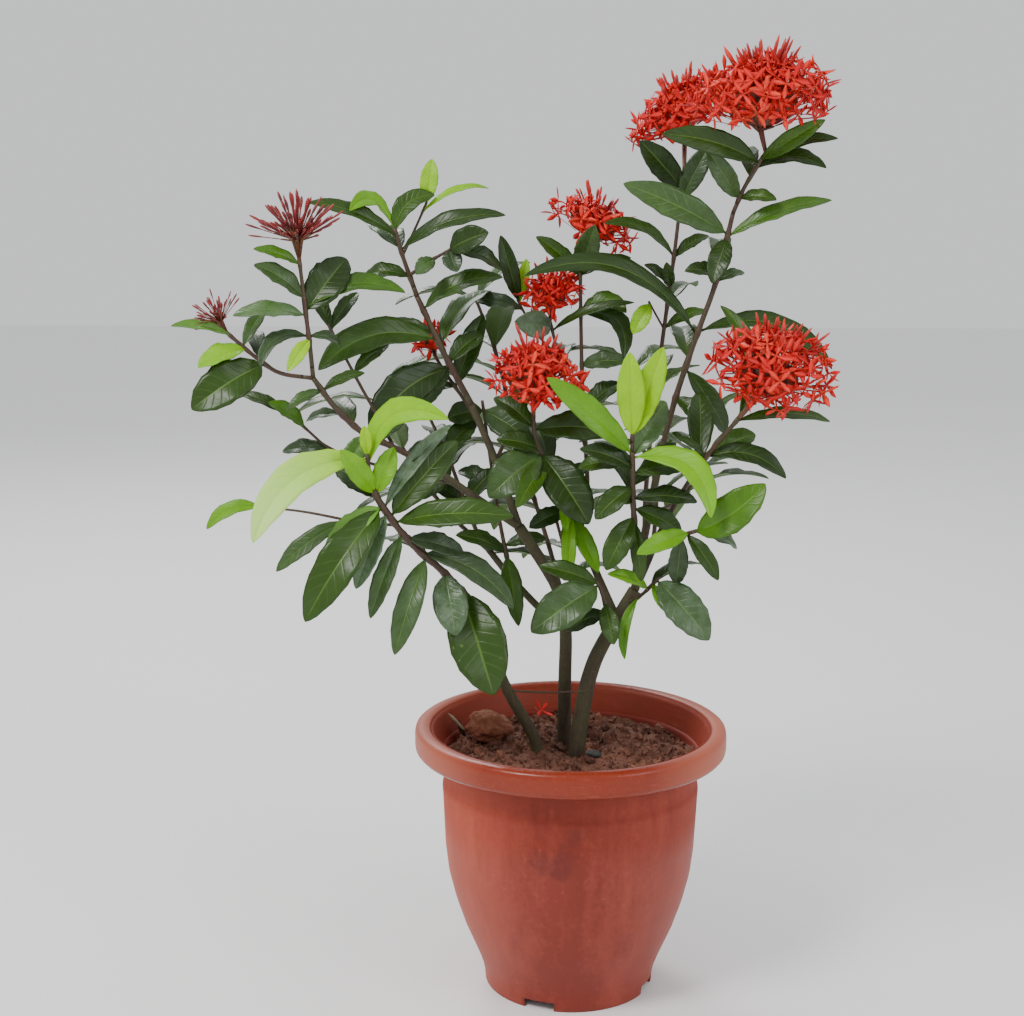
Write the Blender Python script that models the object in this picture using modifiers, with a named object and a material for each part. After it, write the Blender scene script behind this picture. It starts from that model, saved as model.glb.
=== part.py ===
"""A potted red ixora: a plastic nursery pot, its soil, three branching trunks,
leafy stems with opposite leaves, open flower heads and heads still in bud.

The plant is planned in millimetres as it is seen from the front. A place is given
as (u, v, depth): u to the right and v up on the upright plane through the pot's
axis, as seen from EYE, and depth is how far the place lies behind that plane.
spot() turns it into a point in space, with +Z up and the pot's foot on z = 0.
At the end everything moves sideways, so that the middle of its box is over the origin.
"""
import math
import random

import bmesh
import bpy
from mathutils import Matrix, Vector, noise
from mathutils.bvhtree import BVHTree

MM = 0.001
UP = Vector((0.0, 0.0, 1.0))
GAP = 0.35  # between pieces that touch on the real plant
SEED = 11

# The place that the front view is seen from
EYE = Vector((-48.4, -1374.0, 657.0))
EYE_DISTANCE = 1374.0

# Pot: a ten-inch nursery pot
POT_HEIGHT = 217.0
RIM_RADIUS = 125.0
MOUTH_RADIUS = 112.0
RIM_DEPTH = 21.0
FOOT_RADIUS = 68.5
FOOT_HEIGHT = 8.0
FOOT_WALL = 4.0
POT_WALL = 3.0
POT_STEPS = 26
BODY = ((197.0, 101.5), (171.0, 101.5), (168.0, 103.5), (117.0, 101.0),
        (96.0, 98.5), (74.0, 93.0), (52.0, 85.5), (30.0, 76.0), (16.0, 70.5))
NOTCH_ANGLES = (-112.0, -22.0, 68.0, 158.0)
NOTCH_WIDTH = 25.0
DRAIN_RADIUS = 7.0

# Soil
SOIL_TOP = 193.0
SOIL_RINGS = 5
SOIL_SPOKES = 22
LUMP = 5.0
CLOD_AT = (-66.0, 214.0, 22.0)
CLOD_SIZE = (18.0, 14.0, 12.0)

# Stems
STUB = 9.0
SHOOT_SIDES = 4
BRANCH_SIDES = 6
TRUNK_SIDES = 6
TRUNK_FROM = 5.0

# Leaves
BLADE = 0.8
CLEARANCE = 1.5
WIDER = 0.6
INNER_SHARE = 0.26
STATIONS = ((44.0, (0.48,)), (86.0, (0.3, 0.7)), (1000.0, (0.2, 0.5, 0.8)))
PETIOLE = 1.1
FOLD = math.radians(14.0)

# Florets
PETALS = 4
NEEDLE_SIDES = 3
FLORET_RADIUS = 13.0
NOTCH_SHARE = 0.42
TUBE_RADIUS = 1.0
TUBE_SHARE = 0.3


def spot(u, v, depth=0.0):
    """The point seen at (u, v), moved straight back from the eye by depth."""
    return EYE + (Vector((u, 0.0, v)) - EYE) * ((EYE_DISTANCE + depth) / EYE_DISTANCE)


# Paths: name, node, path it grows from, first and last radius, places
PATHS = (
    ("left", "trunk_left", None, 6.2, 4.4,
     ((-7, 150, 14), (-5, 205, 12), (-5, 251, 8), (-4, 294, 4), (-9, 327, 2), (-42, 378, 0))),
    ("far_left", "trunk_left", "left", 3.9, 3.1,
     ((-42, 378, 0), (-76, 401, -12), (-110, 425, -20))),
    ("rising", "trunk_left", "left", 3.8, 3.2,
     ((-42, 378, 0), (-60, 430, 14), (-79, 474, 26))),
    ("middle_left", "trunk_left", "left", 3.6, 3.0,
     ((-4, 294, 4), (-25, 311, 12), (-48, 336, 20), (-74, 370, 28))),
    ("right", "trunk_right", None, 7.6, 5.2,
     ((2, 150, -13), (6, 205, -12), (13, 251, -11), (21, 276, -10), (50, 327, -6))),
    ("fork", "trunk_right", "right", 4.2, 3.2,
     ((36, 303, -8), (21, 337, 6), (6, 372, 16))),
    ("front_right", "trunk_right", "right", 3.6, 3.0,
     ((50, 327, -6), (51, 350, -20), (50, 372, -32))),
    ("rising_right", "trunk_right", "right", 4.2, 3.4,
     ((50, 327, -6), (57, 372, 2), (64, 410, 8), (69, 438, 10))),
    ("far_right", "trunk_right", "right", 3.6, 3.0,
     ((50, 327, -6), (60, 350, -12), (68, 372, -20))),
    ("low", "trunk_low", None, 5.2, 3.6,
     ((-22, 150, -8), (-27, 203, -9), (-41, 226, -14), (-54, 250, -22), (-68, 290, -36), (-80, 318, -46))),
    ("dead_twig", "trunk_low", "low", 1.0, 0.7,
     ((-51, 244, -20), (-18, 242, -32), (16, 244, -34))),

    ("gh", "shoot_far_left", "far_left", 3.0, 2.3,
     ((-110, 425, -20), (-140, 441, -26), (-165, 452, -31), (-186, 472, -35), (-202, 495, -38))),
    ("g", "shoot_bud_tall", "gh", 2.2, 1.7,
     ((-202, 495, -38), (-204, 520, -39), (-207, 547, -40), (-211, 586, -40))),
    ("h", "shoot_bud_low", "gh", 2.0, 1.6,
     ((-202, 495, -38), (-229, 498, -42), (-249, 513, -45), (-268, 530, -46))),
    ("t1", "shoot_thin_upper", "gh", 1.7, 1.2,
     ((-140, 441, -26), (-152, 465, -12), (-165, 488, -2), (-190, 537, 6))),
    ("t2", "shoot_thin_lower", "far_left", 1.7, 1.2,
     ((-92, 412, -16), (-132, 420, 8), (-190, 438, 12), (-211, 458, 12), (-228, 470, 12))),
    ("k", "shoot_front_left", "low", 3.4, 2.5,
     ((-80, 318, -46), (-104, 344, -58), (-128, 364, -68), (-150, 394, -78), (-157, 408, -82))),
    ("k_tip", "shoot_front_left_young", "k", 2.3, 1.4,
     ((-157, 408, -82), (-160, 422, -84), (-161, 436, -86))),
    ("k_side", "shoot_front_left_side", "k", 1.5, 1.0,
     ((-139, 379, -73), (-164, 380, -62), (-212, 390, -60), (-246, 393, -60))),
    ("j", "shoot_rising", "rising", 3.1, 2.5,
     ((-79, 474, 26), (-98, 509, 30), (-107, 528, 31), (-121, 558, 32))),
    ("j_top", "shoot_rising_top", "j", 2.4, 1.6,
     ((-121, 558, 32), (-132, 589, 31), (-138, 610, 30))),
    ("j_side", "shoot_rising_top", "j_top", 1.8, 1.3,
     ((-127, 574, 31), (-112, 585, 20), (-95, 594, 12))),
    ("j_pale", "shoot_rising_top", "j_top", 1.4, 1.0,
     ((-132, 589, 31), (-121, 612, 42), (-113, 630, 46))),
    ("i", "shoot_hidden_head", "rising", 1.9, 1.5,
     ((-71, 454, 21), (-82, 474, 44), (-100, 500, 56), (-106, 510, 58))),
    ("n1", "shoot_middle_left", "middle_left", 2.2, 1.4,
     ((-74, 370, 28), (-86, 402, 34), (-98, 435, 40), (-118, 477, 42))),
    ("n2", "shoot_middle_left_inner", "middle_left", 2.2, 1.4,
     ((-48, 336, 20), (-57, 380, 36), (-62, 412, 42), (-71, 478, 48))),
    ("d", "shoot_centre_head", "fork", 2.6, 1.8,
     ((6, 372, 16), (-6, 398, 10), (-20, 425, 4), (-30, 448, -2), (-31, 466, -5))),
    ("f", "shoot_back_head", "fork", 2.5, 1.6,
     ((6, 372, 16), (12, 405, 36), (10, 440, 48), (6, 500, 58), (4, 583, 62))),
    ("e", "shoot_centre_back_head", "f", 1.8, 1.4,
     ((10, 440, 48), (-2, 480, 58), (-12, 512, 64), (-18, 537, 66))),
    ("e_side", "shoot_centre_back_head", "e", 1.4, 1.0,
     ((-12, 512, 64), (-30, 530, 72), (-44, 556, 76))),
    ("low_mid", "shoot_low_middle", "right", 2.0, 1.5,
     ((30, 292, -9), (27, 314, -24), (21, 333, -34))),
    ("low_right", "shoot_low_right", "right", 2.0, 1.4,
     ((43, 315, -7), (56, 323, -24), (69, 337, -34))),
    ("r_low", "shoot_right_low", "far_right", 1.9, 1.4,
     ((68, 372, -20), (81, 370, -40), (98, 375, -52))),
    ("y", "shoot_front_right", "front_right", 2.5, 1.9,
     ((50, 372, -32), (47, 400, -42), (47, 425, -50), (46, 438, -53))),
    ("y_tip", "shoot_front_right_young", "y", 1.8, 1.4,
     ((46, 438, -53), (46, 452, -57))),
    ("m", "shoot_right_head", "far_right", 2.6, 1.9,
     ((68, 372, -20), (85, 405, -32), (102, 432, -46), (129, 465, -62))),
    ("r", "shoot_top", "rising_right", 3.0, 2.2,
     ((69, 438, 10), (79, 481, 12), (94, 528, 12), (109, 570, 12), (120, 622, 9))),
    ("r_top", "shoot_top_head", "r", 2.1, 1.7,
     ((120, 622, 9), (127, 640, 6), (142, 665, 2))),
    ("l", "shoot_second_head", "rising_right", 2.4, 1.6,
     ((57, 372, 2), (57, 402, 24), (60, 450, 36), (68, 525, 42), (76, 590, 42), (82, 654, 37))),
    ("l_side", "shoot_second_head", "l", 1.1, 0.9,
     ((69, 534, 42), (62, 546, 36), (57, 555, 32))),

    ("back_a", "shoot_back_middle", "left", 2.6, 1.6,
     ((-9, 327, 2), (-18, 362, 42), (-34, 412, 84), (-50, 500, 120))),
    ("back_b", "shoot_back_right", "right", 2.6, 1.6,
     ((47, 321, -6), (64, 358, 44), (66, 410, 84), (46, 510, 122))),
    ("back_c", "shoot_back_left", "middle_left", 2.4, 1.5,
     ((-66, 359, 26), (-98, 388, 62), (-132, 436, 92), (-152, 482, 102))),
    ("back_d", "shoot_back_far_right", "rising_right", 2.2, 1.5,
     ((60, 388, 5), (84, 398, 44), (102, 424, 76), (104, 462, 94))),
    ("back_low", "shoot_back_low", "left", 2.2, 1.5,
     ((-5, 288, 5), (2, 318, 44), (-4, 352, 74), (-14, 388, 92))),
    ("back_e", "shoot_back_rising", "rising", 2.2, 1.5,
     ((-60, 430, 14), (-48, 460, 62), (-58, 510, 98), (-78, 562, 110))),
)


def lf(bu, bv, tu, tv, width, dd=0.0, arch=0.12, face=0.5, sway=0.0):
    """One leaf read off the front view: base, tip, width, how far the tip lies behind
    the base, the blade's arch, how far it faces the eye, and its sideways curve."""
    return (bu, bv, tu, tv, width, dd, arch, face, sway)


LEAVES = {
    "gh": (lf(-195, 485, -162, 499, 9, 14), lf(-195, 485, -222, 471, 9, -12),
           lf(-181, 466, -208, 461, 10, 18), lf(-162, 451, -178, 422, 15, -6, 0.12, 0.8),
           lf(-150, 446, -126, 470, 13, 22)),
    "g": (lf(-206, 527, -243, 503, 11, -18, 0.1, 0.5, 0.25), lf(-206, 527, -180, 518, 10, 18, 0.2),
          lf(-207, 543, -263, 543, 14, -14), lf(-206, 549, -130, 561, 16, 14, 0.08, 0.5, -0.15),
          lf(-207, 546, -175, 587, 26, 24, 0.08, 0.75), lf(-208, 556, -246, 582, 16, -12),
          lf(-211, 582, -246, 594, 10, -12, 0.1), lf(-205, 525, -222, 500, 10, -26, 0.1, 0.8)),
    "h": (lf(-240, 505, -297, 470, 29, -26, 0.14, 0.75), lf(-254, 517, -291, 503, 16, -22),
          lf(-265, 527, -311, 535, 9, -8), lf(-256, 519, -238, 548, 10, 24)),
    "t1": (lf(-170, 499, -143, 521, 11, 14), lf(-188, 532, -204, 566, 11, 18),
           lf(-188, 532, -166, 561, 11, 26)),
    "t2": (lf(-209, 457, -237, 476, 13, -8), lf(-224, 467, -259, 482, 10, 4),
           lf(-190, 438, -227, 437, 14, 8)),
    "k": (lf(-86, 326, -62, 240, 39, -34, 0.1, 0.9), lf(-100, 341, -92, 289, 24, -24, 0.1, 0.85),
          lf(-116, 353, -141, 273, 18, -32, 0.12, 0.7), lf(-118, 357, -46, 311, 18, -20, 0.12, 0.6, -0.08),
          lf(-135, 371, -160, 303, 14, -24, 0.12, 0.6), lf(-140, 381, -46, 386, 21, -12, 0.12, 0.65),
          lf(-154, 390, -212, 300, 28, -36, 0.16, 0.7), lf(-147, 388, -171, 327, 16, -18, 0.1, 0.6),
          lf(-150, 394, -195, 356, 17, -24, 0.12, 0.6), lf(-153, 400, -186, 425, 17, 18, 0.1, 0.6),
          lf(-142, 386, -90, 446, 23, 18, 0.1, 0.7), lf(-148, 392, -95, 459, 12, 34),
          lf(-156, 404, -182, 439, 15, -8, 0.08, 0.85), lf(-155, 403, -140, 441, 15, 6, 0.06, 0.85),
          lf(-126, 371, -85, 355, 16, 12, 0.12, 0.6)),
    "k_tip": (lf(-161, 431, -252, 364, 24, -44, 0.12, 0.7, 0.16),
              lf(-160, 424, -97, 463, 19, -14, 0.1, 0.65, -0.32), lf(-161, 435, -163, 458, 8, -4, 0.05, 0.9)),
    "k_side": (lf(-245, 393, -288, 375, 11, -6, 0.1, 0.6, 0.14), lf(-178, 383, -234, 341, 14, -10, 0.12, 0.6)),
    "j": (lf(-105, 524, -198, 501, 24, -34, 0.1, 0.65, 0.13), lf(-95, 503, -158, 450, 29, -42, 0.1, 0.8, 0.1),
          lf(-116, 548, -55, 573, 18, -8, 0.18), lf(-107, 530, -141, 540, 7, 16),
          lf(-107, 529, -187, 526, 12, 12), lf(-97, 507, -70, 530, 16, 26)),
    "j_top": (lf(-137, 603, -204, 629, 14, -20), lf(-138, 608, -172, 623, 14, -18, 0.12, 0.5, 0.4),
              lf(-138, 607, -107, 635, 15, 12, 0.1, 0.6, -0.2), lf(-133, 593, -53, 620, 15, -8, 0.16),
              lf(-125, 573, -163, 571, 14, 8, 0.22), lf(-134, 594, -158, 614, 13, 26)),
    "j_side": (lf(-96, 594, -66, 607, 19, -14, 0.1, 0.7), lf(-97, 593, -90, 577, 14, -12, 0.1, 0.85),
               lf(-97, 593, -56, 578, 14, 6, 0.2), lf(-108, 587, -122, 575, 12, -14, 0.1, 0.7)),
    "j_pale": (lf(-113, 629, -109, 662, 13, 2, 0.05, 0.9), lf(-116, 622, -66, 640, 6, 22, 0.2, 0.5)),
    "i": (lf(-92, 488, -70, 545, 17, 12, 0.1, 0.7), lf(-92, 488, -122, 484, 13, 14)),
    "n1": (lf(-116, 472, -138, 500, 15, 16, 0.1, 0.6), lf(-116, 472, -98, 505, 15, 20, 0.1, 0.6),
           lf(-99, 438, -130, 436, 15, 14), lf(-99, 438, -76, 462, 17, 12, 0.12, 0.6),
           lf(-84, 396, -60, 424, 15, 14), lf(-84, 396, -114, 412, 15, 16),
           lf(-95, 428, -128, 399, 22, -20, 0.12, 0.8), lf(-79, 384, -108, 378, 14, 8)),
    "n2": (lf(-70, 470, -35, 447, 25, -14, 0.12, 0.7), lf(-70, 470, -98, 464, 18, -12, 0.12, 0.7),
           lf(-62, 415, -38, 438, 16, 16), lf(-51, 348, -42, 297, 15, -26, 0.08, 0.85),
           lf(-53, 356, -92, 371, 15, 6), lf(-54, 362, -20, 368, 13, 6), lf(-62, 412, -90, 422, 14, 14)),
    "d": (lf(-24, 436, 13, 380, 30, -28, 0.14, 0.75), lf(-24, 436, -66, 401, 30, -26, 0.14, 0.75),
          lf(-30, 455, 35, 453, 23, -12, 0.12, 0.65), lf(-30, 456, -62, 480, 16, 14),
          lf(-7, 400, -5, 374, 8, -14, 0.1, 0.8), lf(-2, 390, -3, 334, 11, -24, 0.1, 0.8),
          lf(0, 386, 21, 341, 13, -24, 0.1, 0.75),
          lf(-22, 430, -44, 393, 16, -44, 0.08, 0.85), lf(-26, 440, -60, 447, 16, -4, 0.14, 0.6),
          lf(-3, 392, -34, 377, 14, -8, 0.12, 0.7), lf(-12, 412, 14, 426, 13, 12),
          lf(-10, 408, -42, 424, 13, 12)),
    "low_mid": (lf(22, 331, -32, 292, 29, -22, 0.12, 0.8), lf(27, 316, 34, 282, 14, -18, 0.1, 0.85),
                lf(28, 308, -3, 293, 16, -4, 0.14), lf(21, 331, -26, 346, 15, 4, 0.1, 0.6)),
    "low_right": (lf(67, 335, 110, 286, 26, -26, 0.16, 0.8), lf(64, 332, 75, 309, 8, -16, 0.1, 0.8),
                  lf(60, 328, 28, 340, 11, -18, 0.14, 0.6), lf(53, 321, 43, 270, 8, -14, 0.1, 0.6, 0.1)),
    "r_low": (lf(96, 374, 151, 413, 27, -16, 0.1, 0.75, 0.1), lf(92, 373, 51, 356, 14, -24, 0.1, 0.75),
              lf(90, 372, 116, 335, 12, -10, 0.12, 0.6), lf(96, 374, 130, 361, 16, 20),
              lf(86, 371, 83, 332, 14, 8, 0.1, 0.7)),
    "y": (lf(47, 434, 71, 478, 20, 20, 0.1, 0.8), lf(46, 436, -21, 496, 18, -14, 0.1, 0.75),
          lf(47, 433, 109, 385, 19, -28, 0.12, 0.6, -0.26), lf(47, 424, 5, 440, 15, -8, 0.14, 0.6),
          lf(47, 420, 89, 425, 15, 16, 0.12, 0.6), lf(48, 400, 98, 398, 16, 10),
          lf(48, 397, 23, 402, 13, -16), lf(48, 410, 18, 384, 17, -12, 0.12, 0.6),
          lf(49, 387, 27, 343, 18, -10, 0.12, 0.75), lf(49, 393, 86, 373, 16, 10, 0.12, 0.65),
          lf(47, 429, 4, 425, 14, 12, 0.12, 0.6), lf(49, 383, 55, 334, 11, -8, 0.1, 0.8),
          lf(47, 410, 80, 445, 13, 18, 0.1, 0.7)),
    "y_tip": (lf(46, 447, 43, 516, 19, -8, 0.05, 0.95), lf(46, 447, 69, 520, 19, 0, 0.05, 0.95)),
    "m": (lf(103, 434, 167, 417, 15, -10, 0.14, 0.6, -0.12), lf(104, 437, 142, 452, 17, 14, 0.1, 0.7),
          lf(127, 462, 200, 462, 11, 12, 0.12), lf(128, 463, 112, 552, 14, 58, 0.04, 0.7, 0.16),
          lf(103, 434, 79, 450, 7, -6)),
    "r": (lf(95, 529, -39, 574, 17, -18, 0.08, 0.55, 0.2), lf(96, 531, 200, 503, 17, -26, 0.08, 0.5, -0.2),
          lf(109, 570, 84, 578, 14, -10, 0.25), lf(109, 570, 130, 577, 9, 14),
          lf(116, 604, 195, 632, 14, -6, 0.1), lf(116, 606, 36, 644, 22, -16, 0.1, 0.75),
          lf(116, 603, 105, 569, 16, -18, 0.1, 0.85), lf(86, 503, 119, 452, 16, 10, 0.12, 0.6),
          lf(79, 481, 106, 458, 14, -14, 0.12, 0.6)),
    "r_top": (lf(121, 627, 153, 632, 12, -12), lf(122, 629, 99, 669, 15, -14, 0.08, 0.85),
              lf(136, 655, 190, 656, 14, -8, 0.1, 0.5, -0.14), lf(138, 660, 65, 681, 18, -34, 0.06, 0.85, 0.05),
              lf(140, 662, 188, 692, 13, -34, 0.08, 0.85), lf(140, 662, 198, 678, 12, -8)),
    "l": (lf(76, 588, 22, 614, 11, -14, 0.1, 0.5, 0.13), lf(76, 588, 102, 605, 10, 12, 0.14),
          lf(69, 534, 102, 548, 10, 14), lf(73, 566, 53, 583, 10, -10), lf(73, 566, 70, 585, 9, -12, 0.1, 0.8),
          lf(81, 640, 48, 676, 19, -12, 0.1, 0.8), lf(80, 632, 101, 673, 16, -8, 0.08, 0.85),
          lf(61, 460, 40, 478, 14, 16)),
    "l_side": (lf(57, 554, 45, 530, 13, -8, 0.1, 0.9),),
    "e": (lf(-18, 536, -46, 539, 20, -30, 0.06, 0.95),
          lf(-17, 532, 46, 554, 9, -16), lf(-9, 503, -50, 515, 17, -8, 0.12, 0.6)),
    "e_side": (lf(-44, 555, -57, 605, 13, -4, 0.08, 0.85), lf(-43, 553, -37, 587, 9, -10, 0.08, 0.85),
               lf(-40, 548, -78, 556, 13, 8, 0.12, 0.6)),
    "f": (lf(5, 545, 40, 546, 15, -14, 0.1, 0.5, -0.3), lf(5, 545, 38, 511, 15, -8, 0.1, 0.5, -0.35),
          lf(6, 505, 40, 508, 15, -10, 0.14, 0.6), lf(4, 576, 15, 613, 18, -16, 0.05, 0.9),
          lf(4, 574, -30, 604, 13, -2, 0.1, 0.6), lf(4, 574, 43, 588, 11, -8),
          lf(8, 470, 36, 492, 16, 12)),
}

# Leaf pairs set by rule, as (path, first share, last share, pairs, length)
PAIRS = (("back_a", 0.42, 0.97, 4, 78.0), ("back_b", 0.42, 0.97, 4, 78.0),
         ("back_c", 0.4, 0.97, 3, 74.0), ("back_d", 0.4, 0.97, 3, 68.0),
         ("back_low", 0.5, 0.97, 3, 66.0), ("back_e", 0.42, 0.97, 3, 72.0))

# Single leaves on the far side of front stems, as (path, share, length)
FAR_SIDE = (("gh", 0.55, 60.0), ("k", 0.35, 72.0), ("j", 0.5, 74.0), ("j_top", 0.6, 60.0),
            ("d", 0.5, 70.0), ("m", 0.55, 70.0), ("y", 0.4, 66.0), ("l", 0.4, 66.0), ("l", 0.62, 62.0),
            ("r", 0.35, 70.0), ("r", 0.78, 60.0), ("r_top", 0.5, 56.0), ("h", 0.5, 48.0),
            ("g", 0.6, 52.0), ("n1", 0.6, 62.0), ("low_right", 0.6, 58.0), ("e", 0.6, 58.0))

# Heads: name, path that carries it, middle, half widths, rise to the right, axis, florets, needle buds
HEADS = (
    ("head_top", "r_top", (141, 707, -12), (55, 38, 32), 0.06, (0.05, -0.3, 1.0), 26, 12),
    ("head_second", "l", (80, 697, 56), (44, 31, 24), 0.4, (-0.15, -0.3, 1.0), 16, 6),
    ("head_right", "m", (151, 501, -80), (48, 36, 33), -0.1, (0.1, -0.7, 0.75), 21, 4),
    ("head_centre", "d", (-28, 495, -14), (37, 32, 27), -0.1, (0.0, -0.6, 0.8), 14, 3),
    ("head_centre_back", "e", (-18, 560, 70), (26, 23, 17), 0.1, (0.0, -0.5, 0.9), 8, 2),
    ("head_back", "f", (14, 614, 64), (36, 31, 18), -0.36, (0.12, -0.3, 1.0), 11, 4),
    ("head_hidden", "i", (-110, 524, 60), (17, 16, 13), 0.0, (-0.2, -0.4, 0.9), 4, 1),
)
BUD_HEADS = (("buds_tall", "g", (-213, 612, -41), 34.0, 30), ("buds_low", "h", (-277, 545, -47), 22.0, 18))
DOME_REACH = math.radians(104.0)
CORE_SHARE = 0.72
BUD_FAN = math.radians(78.0)


def stretch(points):
    """Distances along a line of points, from its start."""
    marks = [0.0]
    for a, b in zip(points, points[1:]):
        marks.append(marks[-1] + (b - a).length)
    return marks


def along(points, distance):
    """The point and the direction at a distance along a line of points."""
    marks = stretch(points)
    distance = min(max(distance, 0.0), marks[-1])
    for a, b, start, end in zip(points, points[1:], marks, marks[1:]):
        if distance <= end:
            return a.lerp(b, (distance - start) / (end - start)), (b - a).normalized()
    return points[-1], (points[-1] - points[-2]).normalized()


def piece_of(points, start, end):
    """The stretch of a line of points between two distances."""
    marks = stretch(points)
    inner = [p for p, m in zip(points, marks) if start + 1.0 < m < end - 1.0]
    return [along(points, start)[0]] + inner + [along(points, end)[0]]


class Stem:
    """One path of the plan: its points, its radii and the stretch that its own node holds."""

    def __init__(self, name, node, parent, first, last, places):
        self.name = name
        self.node = node
        self.points = [spot(*place) for place in places]
        self.length = stretch(self.points)[-1]
        self.first = first
        self.last = last
        grows_on = STEMS[parent].node if parent else node
        self.stub = 0.0 if grows_on == node else self.clear_of(STEMS[parent])
        self.own_start = self.stub + GAP if self.stub else 0.0
        self.stub_node = grows_on if self.stub else None

    def radius(self, distance):
        share = distance / self.length
        return self.first + (self.last - self.first) * share

    def clear_of(self, parent):
        """How far along this path it has left the stem that it grows from."""
        apart = parent.first + self.first + 1.5
        distance = STUB
        while distance < self.length * 0.5:
            here = along(self.points, distance)[0]
            marks = [m * 2.0 for m in range(int(parent.length / 2.0))]
            nearest = min((here - along(parent.points, m)[0]).length for m in marks)
            if nearest > apart:
                break
            distance += 1.0
        return distance

    def base_near(self, u, v, places):
        """The place on the path that is nearest to (u, v) in the front view."""
        best = None
        for (a, b), p, q in zip(zip(places, places[1:]), self.points, self.points[1:]):
            run = Vector((b[0] - a[0], b[1] - a[1]))
            share = Vector((u - a[0], v - a[1])).dot(run) / run.length_squared
            share = min(max(share, 0.0), 1.0)
            miss = (Vector((a[0], a[1])) + run * share - Vector((u, v))).length
            if best is None or miss < best[0]:
                best = (miss, self.points.index(p), share)
        marks = stretch(self.points)
        _, index, share = best
        distance = marks[index] + (marks[index + 1] - marks[index]) * share
        return min(max(distance, self.own_start + 2.5), self.length - 2.0)


STEMS = {}
for _row in PATHS:
    STEMS[_row[0]] = Stem(*_row)
PLACES = {row[0]: row[5] for row in PATHS}


class Blade:
    """A leaf's form: a line from base to tip that arches, with a folded, waved blade on it."""

    def __init__(self, node, base, tip, width, arch, face, sway, phase):
        self.node = node
        self.base = base
        self.chord = tip - base
        self.length = self.chord.length
        self.width = width
        self.arch = arch
        self.sway = sway
        self.phase = phase
        hint = UP * (1.0 - face) + (EYE - base).normalized() * face
        self.side = self.chord.cross(hint).normalized()
        self.normal = self.side.cross(self.chord).normalized()

    def centre(self, t):
        bow = self.length * 4.0 * t * (1.0 - t)
        return self.base + self.chord * t + (self.normal * self.arch + self.side * self.sway) * bow

    def half_width(self, t):
        x = min(max((t - 0.05) / 0.95, 0.0), 1.0)
        lens = (4.0 * x * (1.0 - x)) ** 0.68
        return max(self.width * 0.55 * lens, PETIOLE * (1.0 - t))

    def axes(self, t):
        slope = self.length * 4.0 * (1.0 - 2.0 * t)
        run = self.chord + (self.normal * self.arch + self.side * self.sway) * slope
        side = run.cross(self.normal).normalized()
        return side, side.cross(run).normalized()

    def ruffle(self, t, s):
        wave = math.sin(2.0 * math.pi * 2.6 * t + self.phase + (1.3 if s > 0 else 0.0))
        return wave * 0.045 * self.width * abs(s) * math.sin(math.pi * t)

    def place(self, t, s, wider=0.0):
        side, normal = self.axes(t)
        half = self.half_width(t) + wider
        lift = abs(s) * half * math.sin(FOLD) + self.ruffle(t, s)
        return self.centre(t) + side * (s * half * math.cos(FOLD)) + normal * lift, normal

    def stations(self):
        return next(rows for limit, rows in STATIONS if self.length < limit)

    def solid(self, thick=BLADE, wider=0.0, start=0.0):
        """Corners and triangles of the closed blade, with both faces split alike."""
        rows = [start + (1.0 - start) * t for t in self.stations()]
        spots = [self.place(t, s, wider) for t in rows for s in (-1.0, 0.0, 1.0)]
        n = len(spots)
        root = 2 * n
        tip = root + 1
        faces = [(root, 1, 0), (root, 2, 1), (n - 3, n - 2, tip), (n - 2, n - 1, tip)]
        walls = [(root, 0, n), (2, root, 2 + n), (n - 3, tip, root - 3), (tip, n - 1, root - 1)]
        for k in range(len(rows) - 1):
            a, b = 3 * k, 3 * k + 3
            for j in (0, 1):
                faces += [(a + j, a + j + 1, b + j + 1), (a + j, b + j + 1, b + j)]
            walls += [(a, b, b + n), (a, b + n, a + n)]
            walls += [(b + 2, a + 2, a + 2 + n), (b + 2, a + 2 + n, b + 2 + n)]
        under = [tuple(c if c >= root else c + n for c in (p, r, q)) for p, q, r in faces]
        upper = [p + m * (thick * 0.5) for p, m in spots]
        lower = [p - m * (thick * 0.5) for p, m in spots]
        ends = [self.centre(start), self.centre(1.0)]
        return upper + lower + ends, faces + under + walls


def tube_shell(points, radii, sides=6):
    """Corners and triangles of a plain tube, to test what crosses it."""
    corners = []
    for k, p in enumerate(points):
        before = points[max(k - 1, 0)]
        after = points[min(k + 1, len(points) - 1)]
        run = (after - before).normalized()
        across = run.cross(UP if abs(run.z) < 0.9 else Vector((1.0, 0.0, 0.0))).normalized()
        over = run.cross(across)
        for i in range(sides):
            a = 2.0 * math.pi * i / sides
            corners.append(p + (across * math.cos(a) + over * math.sin(a)) * radii[k])
    faces = []
    for k in range(len(points) - 1):
        for i in range(sides):
            a, b = k * sides + i, k * sides + (i + 1) % sides
            faces += [(a, b, b + sides), (a, b + sides, a + sides)]
    return corners, faces


class Obstacle:
    """Something already in place that a new leaf must stay clear of."""

    def __init__(self, node, corners, faces, is_stem, outer=None):
        self.node = node
        self.is_stem = is_stem
        self.low = Vector([min(c[i] for c in corners) for i in range(3)])
        self.high = Vector([max(c[i] for c in corners) for i in range(3)])
        self.tree = BVHTree.FromPolygons(corners, faces)
        self.outer = outer

    def near(self, low, high):
        return all(self.low[i] <= high[i] and low[i] <= self.high[i] for i in range(3))


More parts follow.
